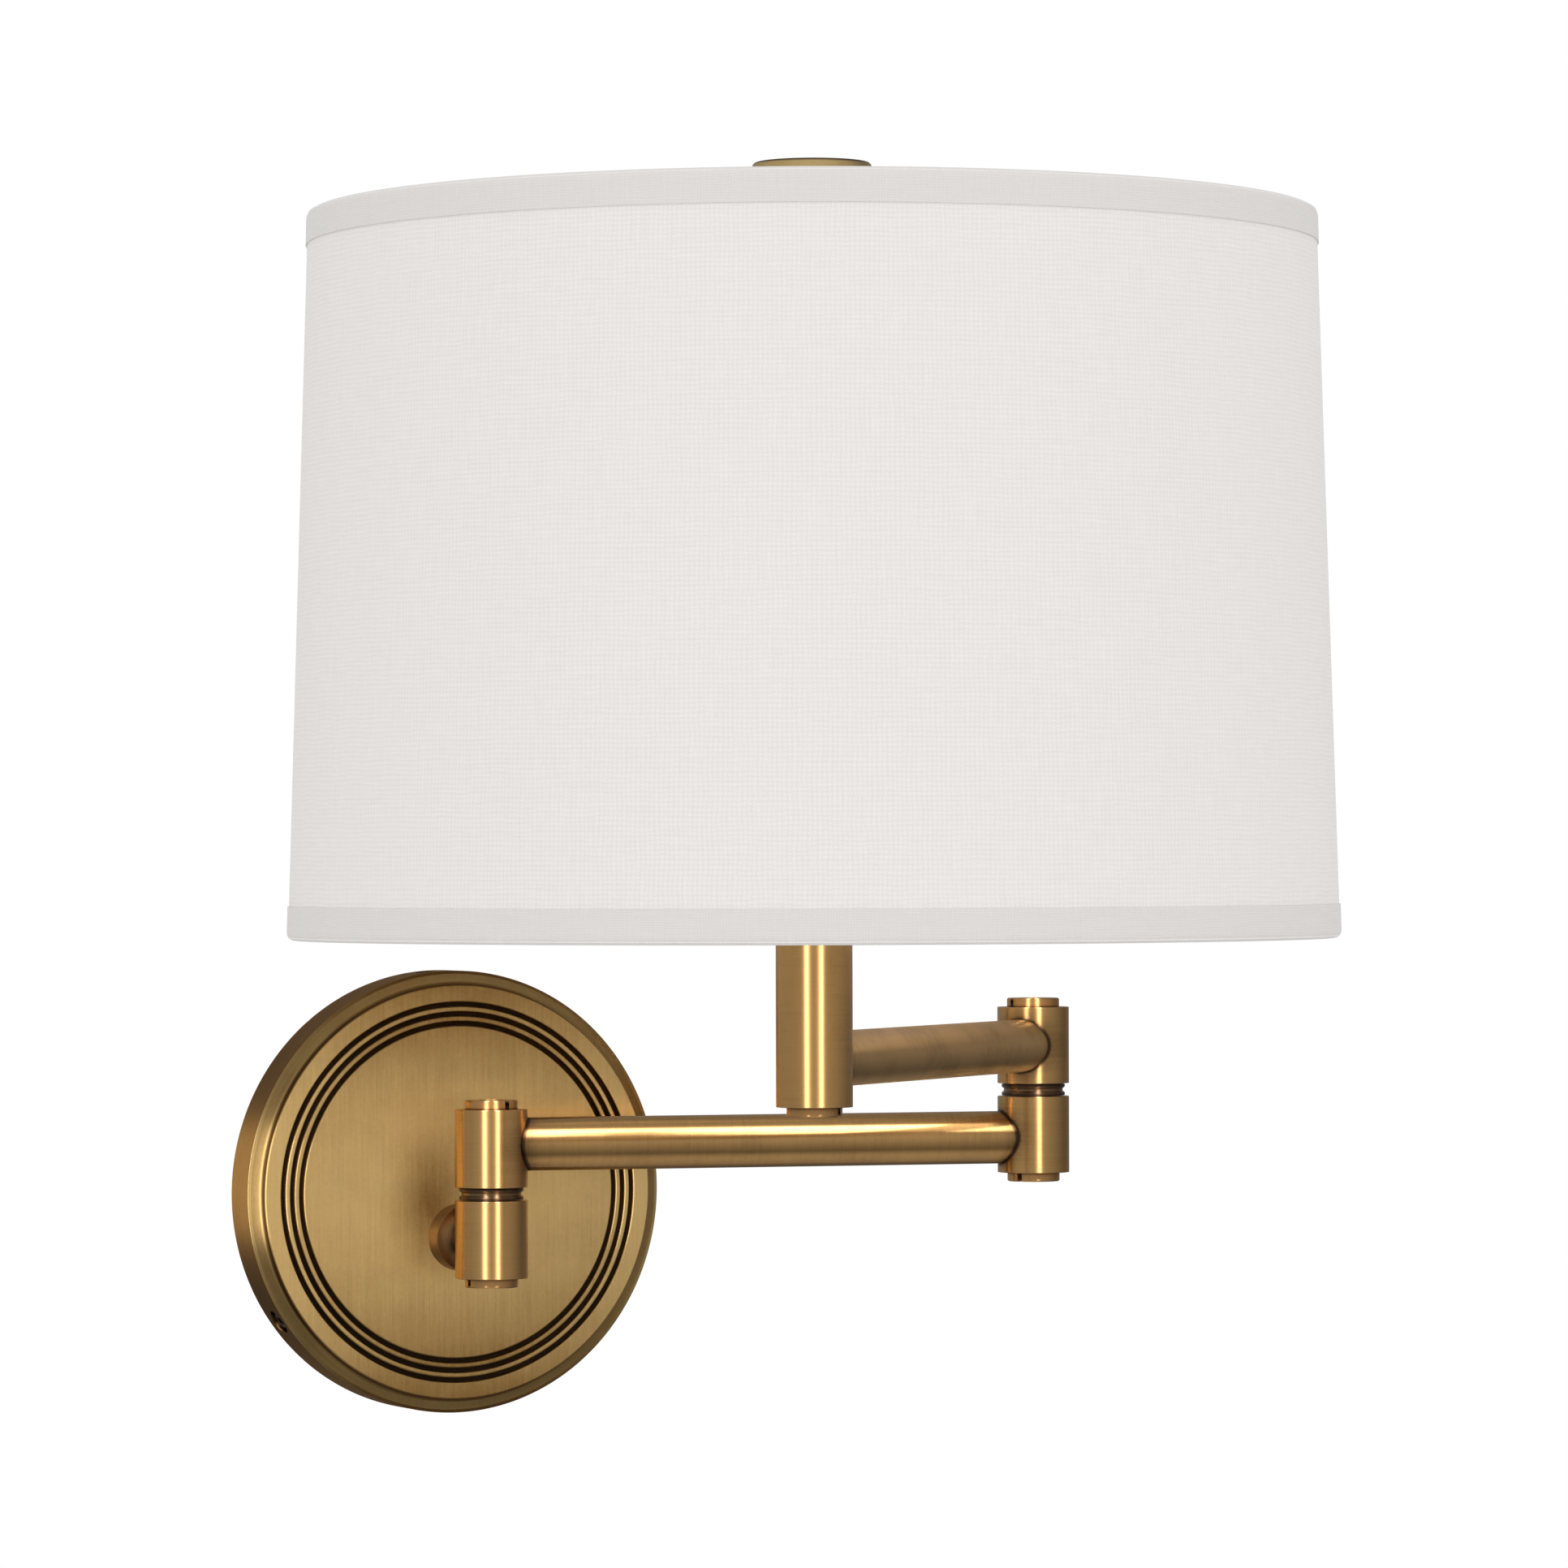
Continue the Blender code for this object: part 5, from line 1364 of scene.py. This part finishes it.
def build_bulb_base():
    """The thread of the base, closed below by a cone with its small contact."""
    low, high = ends("bulb_base")
    angles, start = angles_round(96), low[2] + 5 * MM
    height = np.linspace(start, high[2], 80)[:, None]
    radius = thread(height, angles, 13.1 * MM, 0.9 * MM, start, high[2])
    cone = np.array([(0, 0.0), (3.0, 0.0), (3.4, 0.5), (3.6, 1.2), (7.1, 2.2), (12.6, 4.8)]) * MM
    radius = np.concatenate([np.repeat(cone[:, :1], 96, 1), radius, np.zeros((1, 96))])
    height = np.concatenate([low[2] + cone[:, 1:], height, high[2:3, None]])
    grid = COLUMN_AXIS + radius[..., None] * spokes(angles) + height[..., None] * Z
    return fit(skin("threaded_bulb_base", grid), ALUMINIUM, "aluminium", "lamp_arm", "bulb_base")


def build_globe():
    """Sphere above, then half a cosine wave in to the neck; the inner wall is the same, inset."""
    low, high = ends("bulb_globe")
    radius, neck, foot = 30 * MM, 13.6 * MM, low[2]
    centre, shoulder = high[2] - radius, foot + 6 * MM
    crown = np.linspace(0, math.pi / 2, 40)
    sweep = np.linspace(0, 1, 40)[1:]

    def wall(inset):
        ball = np.stack([(radius - inset) * np.sin(crown), centre + (radius - inset) * np.cos(crown)], -1)
        wave = radius + (neck - radius) * (0.5 - 0.5 * np.cos(math.pi * sweep)) - inset
        below = np.stack([wave, centre + (shoulder - centre) * sweep], -1)
        return np.concatenate([ball, below, [(neck - inset, foot)]])

    outline = np.concatenate([wall(0.0), wall(0.9 * MM)[::-1]])
    piece = turned("opal_globe", outline, COLUMN_AXIS, sides=128, closed=False)
    return fit(piece, OPAL_GLASS, "glass", "lamp_arm", "bulb_globe")


build_screw_shell()
build_bulb_base()
build_globe()


# %% Switch
SWITCH_CENTRE = middle("switch_shaft") * (1, 0, 1) + COLUMN_AXIS * (0, 1, 0)
SWITCH_BASIS = OUTWARD


def build_switch_shaft():
    """A plain pin."""
    low, high = ends("switch_shaft")
    near, far = COLUMN_AXIS[1] - high[1], COLUMN_AXIS[1] - low[1]
    outline = eased([(0, near), (2 * MM, near), (2 * MM, far), (0, far)], 0.2 * MM, closed=False)
    piece = turned("turned_switch_shaft", outline, SWITCH_CENTRE, SWITCH_BASIS, sides=48, closed=False)
    return fit(piece, TURNED_BRASS, "brass", "switch", "switch_shaft")


def build_switch_knob():
    """A fluted knob: its radius falls by a tenth in twelve rounded flutes, away from the ends."""
    low, high = ends("switch_knob")
    near, far = COLUMN_AXIS[1] - high[1], COLUMN_AXIS[1] - low[1]
    radius, bore, floor = 4.6 * MM, 2.3 * MM, near + 6.3 * MM
    length = far - near
    skirt = np.linspace(0, 1, 26)
    crown = np.sqrt(np.clip(1 - np.clip((skirt - 0.82) / 0.18, 0, 1) ** 2, 0, 1))
    side = np.stack([radius * (0.55 + 0.45 * crown), near + length * skirt], -1)
    outline = np.concatenate([[(0, floor), (bore, floor), (bore, near)], side, [(0, far)]])
    angles = angles_round(144)
    grid = turned_grid(outline, np.zeros(3), SWITCH_BASIS, angles)
    flute = 0.06 * np.abs(np.cos(6 * angles)) ** 0.7
    depth = np.where((outline[:, 0] > 2.6 * MM) & (outline[:, 1] > near + 0.8 * MM), 1.0, 0.0)
    share = 1 - depth[:, None] * (0.06 - flute)[None]
    piece = skin("fluted_switch_knob", squeezed(grid, SWITCH_BASIS, share, SWITCH_CENTRE))
    return fit(piece, PHENOLIC, "phenolic", "switch", "switch_knob")


build_switch_shaft()
build_switch_knob()

# %% [markdown]
# ## Linen
#
# The shade is covered with a plain weave of thick and thin linen threads, about one and a
# half millimetres apart, glued to a white liner. Three things make it read as cloth: each
# thread is a small round ridge, warp and weft pass over each other like a chessboard, and
# threads swell and fade along their length. The group reads the unwrapped place in metres,
# so the threads run round the drum and straight up it.

# %% The weave group
def weave():
    """Two sets of ridges, |sin(pi·u/pitch)| and |sin(pi·v/pitch)|, taking turns to be on top.

    Chess is sin(pi·u/pitch)·sin(pi·v/pitch), positive where one set is above. Slubs are noise
    stretched along each set of threads.
    """
    tree, given, out = new_group(
        "weave",
        [("Place", "Vector", None), ("Pitch", "Float", 0.0014), ("Slub", "Float", 0.5)],
        [("Height", "Float"), ("Tone", "Float")],
    )
    split = tree.nodes.new("ShaderNodeSeparateXYZ")
    join(tree, given["Place"], split.inputs[0])
    wander = noise(tree, given["Place"], 90.0, 2.0)
    shift = product(tree, difference(tree, wander, 0.5), 0.0016)
    turns = [
        product(tree, arithmetic(tree, "DIVIDE", total(tree, place, shift), given["Pitch"]), math.pi)
        for place in split.outputs[:2]
    ]
    waves = [arithmetic(tree, "SINE", turn) for turn in turns]
    ridges = [arithmetic(tree, "ABSOLUTE", wave) for wave in waves]
    chess = between(tree, product(tree, waves[0], waves[1]), -0.6, 0.6)
    upright = product(tree, ridges[0], chess)
    level = product(tree, ridges[1], difference(tree, 1.0, chess))
    ground = arithmetic(tree, "MAXIMUM", upright, level)
    thick_level = noise(tree, stretched(tree, given["Place"], 14 * MM, 0.7 * MM), 1.0, 3.0, 0.6)
    thick_upright = noise(tree, stretched(tree, given["Place"], 0.7 * MM, 14 * MM), 1.0, 3.0, 0.6)
    slub = product(tree, total(tree, thick_level, thick_upright), given["Slub"])
    join(tree, total(tree, product(tree, ground, 0.5), slub), out["Height"])
    fibre = noise(tree, given["Place"], 3500.0, 2.0)
    tone = total(tree, product(tree, ground, 0.35), product(tree, slub, 0.9))
    join(tree, total(tree, tone, product(tree, fibre, 0.2)), out["Tone"])
    return tree


WEAVE = weave()


# %% Cloth finishes
def cloth(name, light, dark, pitch, slub, strength):
    """Woven cloth: dark between the threads, light on them, and a faint sheen."""
    material, tree, shader = new_material(name)
    unwrapped = tree.nodes.new("ShaderNodeUVMap")
    unwrapped.uv_map = "brushing"
    threads = place_group(tree, WEAVE, Place=unwrapped.outputs["UV"], Pitch=pitch, Slub=slub)
    tone = between(tree, threads["Tone"], 0.35, 1.05)
    join(tree, mixed(tree, tone, (*dark, 1), (*light, 1)), shader.inputs["Base Color"])
    shader.inputs["Roughness"].default_value = 0.9
    shader.inputs["Specular IOR Level"].default_value = 0.2
    shader.inputs["Sheen Weight"].default_value = 0.15
    shader.inputs["Sheen Roughness"].default_value = 0.5
    raise_normal(tree, threads["Height"], shader, strength, 0.25 * MM)
    return material


LINEN = cloth("linen", (0.91, 0.88, 0.855), (0.78, 0.75, 0.725), 1.42 * MM, 0.5, 0.5)
TRIM_CLOTH = cloth("trim_cloth", (0.84, 0.815, 0.79), (0.71, 0.685, 0.665), 0.80 * MM, 0.35, 0.4)


def smooth_white(name, colour, roughness):
    """White enamel or plastic sheet with a faint orange-peel surface."""
    material, tree, shader = new_material(name)
    place = object_place(tree)
    cloud = noise(tree, place, 30.0, 3.0)
    duller = tuple(c * 0.97 for c in colour)
    join(tree, mixed(tree, cloud, (*colour, 1), (*duller, 1)), shader.inputs["Base Color"])
    join(tree, between(tree, cloud, 0.3, 0.7, roughness, roughness + 0.1), shader.inputs["Roughness"])
    raise_normal(tree, noise(tree, place, 900.0, 2.0), shader, 0.06, 0.1 * MM)
    return material


LINER = smooth_white("liner", (0.86, 0.85, 0.83), 0.45)
WHITE_ENAMEL = smooth_white("white_enamel", (0.80, 0.80, 0.78), 0.3)

# %% [markdown]
# ## The drum shade
#
# From outside in: the trims along both rims, the linen, the liner, and a wire ring in each
# rim. The linen is one sheet wrapped round and lapped over itself at the back, which leaves
# an upright band one more layer thick. Each trim is a tape folded over the rim and the ring,
# so its corner is round.

# %% Shade sizes
SHADE_LOW, SHADE_HIGH = ends("bottom_trim")[0][2], ends("top_trim")[1][2]
BOTTOM_RADIUS, TOP_RADIUS = half_across("bottom_trim"), half_across("top_trim")
LAP_ANGLE, LAP_WIDTH = math.radians(72), 9.0 * MM
SHADE_SIDES = 360


def shade_radius(height):
    """Radius of the trim's outer face, on the straight line from the bottom rim to the top rim."""
    return BOTTOM_RADIUS + (TOP_RADIUS - BOTTOM_RADIUS) * (height - SHADE_LOW) / (SHADE_HIGH - SHADE_LOW)


print(f"shade: {2 * BOTTOM_RADIUS / MM:.1f} mm wide below and {2 * TOP_RADIUS / MM:.1f} mm above")


# %% Linen and liner
def drum_layer(name, depth, thickness, margin, lap):
    """A tapered tube: radius is the trim's less depth, and a band at the lap stands out by lap."""
    height = np.linspace(SHADE_LOW + margin, SHADE_HIGH - margin, 24)
    angles = angles_round(SHADE_SIDES)
    off = np.abs(np.mod(angles - LAP_ANGLE + math.pi, math.tau) - math.pi) * BOTTOM_RADIUS
    ridge = lap * np.clip((LAP_WIDTH / 2 + 1.5 * MM - off) / (1.5 * MM), 0, 1)
    outer = (shade_radius(height) - depth)[:, None] + ridge[None]
    inner = (shade_radius(height) - depth - thickness)[:, None] + 0 * ridge[None]
    wall_of = lambda radius: COLUMN_AXIS + radius[..., None] * spokes(angles) + height[:, None, None] * Z
    grid = np.concatenate([wall_of(outer), wall_of(inner)[::-1]])
    return skin(name, grid, round_unwrap(COLUMN_AXIS, UPRIGHT, BOTTOM_RADIUS), ring=True)


linen_piece = drum_layer("linen_drum", depth=0.45 * MM, thickness=0.5 * MM, margin=0.7 * MM, lap=0.35 * MM)
fit(linen_piece, LINEN, "fabric", "lamp_arm", "shade_fabric")
liner_piece = drum_layer("liner_drum", depth=1.2 * MM, thickness=0.6 * MM, margin=0.7 * MM, lap=0.0)
fit(liner_piece, LINER, "liner", "lamp_arm", "shade_liner")


# %% Trims
def tape_outline(line, thickness):
    """A line given thickness: the line moved half of it to one side, then back on the other."""
    direction = np.gradient(line, axis=0)
    direction /= np.linalg.norm(direction, axis=1, keepdims=True)
    normal = np.stack([direction[:, 1], -direction[:, 0]], -1)
    return np.concatenate([line + normal * thickness / 2, (line - normal * thickness / 2)[::-1]])


def build_trim(name, node, rim, inward):
    """Up the outside, a quarter turn of 2.2 mm over the rim, and on in across it."""
    height, thick, bend, fold = 10.2 * MM, 0.4 * MM, 2.2 * MM, 5.9 * MM
    hem = rim + inward * height
    turn = np.linspace(0, math.pi / 2, 12)
    low_part = np.linspace(hem, rim + inward * (thick / 2 + bend), 12)
    outside = np.stack([shade_radius(low_part) - thick / 2, low_part], -1)
    corner_radius = shade_radius(rim) - thick / 2 - bend
    corner_height = rim + inward * (thick / 2 + bend * (1 - np.sin(turn)))
    corner = np.stack([corner_radius + bend * np.cos(turn), corner_height], -1)
    corner[:, 0] += (outside[-1, 0] - corner[0, 0]) * (1 - turn / turn[-1])
    across = np.linspace(corner[-1, 0], shade_radius(rim) - fold, 6)[1:]
    inside = np.stack([across, np.full(5, rim + inward * thick / 2)], -1)
    outline = tape_outline(np.concatenate([outside, corner[1:], inside]), thick)
    piece = turned(name, outline, COLUMN_AXIS, sides=SHADE_SIDES)
    return fit(piece, TRIM_CLOTH, "trim", "lamp_arm", node)


top_tape = build_trim("top_trim_tape", "top_trim", SHADE_HIGH, -1)
bottom_tape = build_trim("bottom_trim_tape", "bottom_trim", SHADE_LOW, 1)


# %% Rings and spider
WIRE_RADIUS = 1.5 * MM


def build_ring(name, node):
    """A wire bent into a circle."""
    low, high = ends(node)
    radius, height = half_across(node) - WIRE_RADIUS, (low[2] + high[2]) / 2
    angles = angles_round(240)
    path = COLUMN_AXIS + radius * spokes(angles) + height * Z
    return fit(wire(name, path, Z, WIRE_RADIUS, 16, closed=True), WHITE_ENAMEL, "wire", "lamp_arm", node)


def build_spider():
    """A washer on the harp's stud and three straight wires out to the ring."""
    low, high = ends("spider_hub")
    corners = [(9.5 * MM, low[2]), (9.5 * MM, high[2]), (3.3 * MM, high[2]), (3.3 * MM, low[2])]
    hub = turned("spider_washer", eased(corners, 0.3 * MM), COLUMN_AXIS, sides=96)
    fit(hub, WHITE_ENAMEL, "wire", "lamp_arm", "spider_hub")
    height = (low[2] + high[2]) / 2
    for number, angle in enumerate(np.radians([90, 210, 330]), 1):
        spoke = np.array([math.cos(angle), math.sin(angle), 0])
        reach = np.linspace(9.3 * MM, TOP_RADIUS - 3.6 * MM, 24)[:, None]
        path = COLUMN_AXIS + spoke * reach + height * Z
        node = f"spider_arm_{number}"
        fit(wire("wire_" + node, path, Z, WIRE_RADIUS, 16), WHITE_ENAMEL, "wire", "lamp_arm", node)


build_ring("top_wire_ring", "top_ring")
build_ring("bottom_wire_ring", "bottom_ring")
build_spider()

# %% [markdown]
# ## Finial
#
# A flat disc on a short neck screws down on the harp's stud and holds the spider. Only its
# rim shows above the shade.

# %% Stud and finial
def build_stud():
    """A pin on a wider collar."""
    low, high = ends("harp_stud")
    pin, collar, shoulder = 3.0 * MM, 6.5 * MM, 296.7 * MM
    corners = [
        (0, high[2]), (pin, high[2]), (pin, shoulder), (collar, shoulder), (collar, low[2]), (0, low[2]),
    ]
    outline = eased(corners, 0.25 * MM, closed=False)
    piece = turned("turned_harp_stud", outline, COLUMN_AXIS, sides=96, closed=False)
    return fit(piece, PRESSED_BRASS, "brass", "lamp_arm", "harp_stud")


def build_finial():
    """Disc with a well rounded rim, neck, and a flared foot with the stud's hole."""
    low, high = ends("finial")
    top, foot, under = high[2], low[2], high[2] - 4.0 * MM
    corners = [
        (0, top), (17.3 * MM, top), (18.05 * MM, top - 0.8 * MM), (18.05 * MM, under + 0.6 * MM),
        (17.4 * MM, under), (5.0 * MM, under), (5.0 * MM, foot + 3.0 * MM), (7.5 * MM, foot + 2.0 * MM),
        (7.5 * MM, foot),
        (3.3 * MM, foot), (3.3 * MM, foot + 9.3 * MM), (0, foot + 9.3 * MM),
    ]
    outline = filled(eased(corners, 0.35 * MM, closed=False), 1.2 * MM, closed=False)

    # Painted shade: a thin dark line along the top edge of the rim.
    def patina_and_shade(grid):
        on_rim = np.linalg.norm(grid[..., :2] - COLUMN_AXIS[:2], axis=-1) > 17.0 * MM
        return 0.55 * np.exp(-(((grid[..., 2] - top + 0.25 * MM) / (0.35 * MM)) ** 2)) * on_rim

    piece = turned("turned_finial", outline, COLUMN_AXIS, patina_and_shade=patina_and_shade, sides=192, closed=False)
    return fit(piece, BRIGHT_BRASS, "brass", "lamp_arm", "finial", boxes=False)


build_stud()
build_finial()
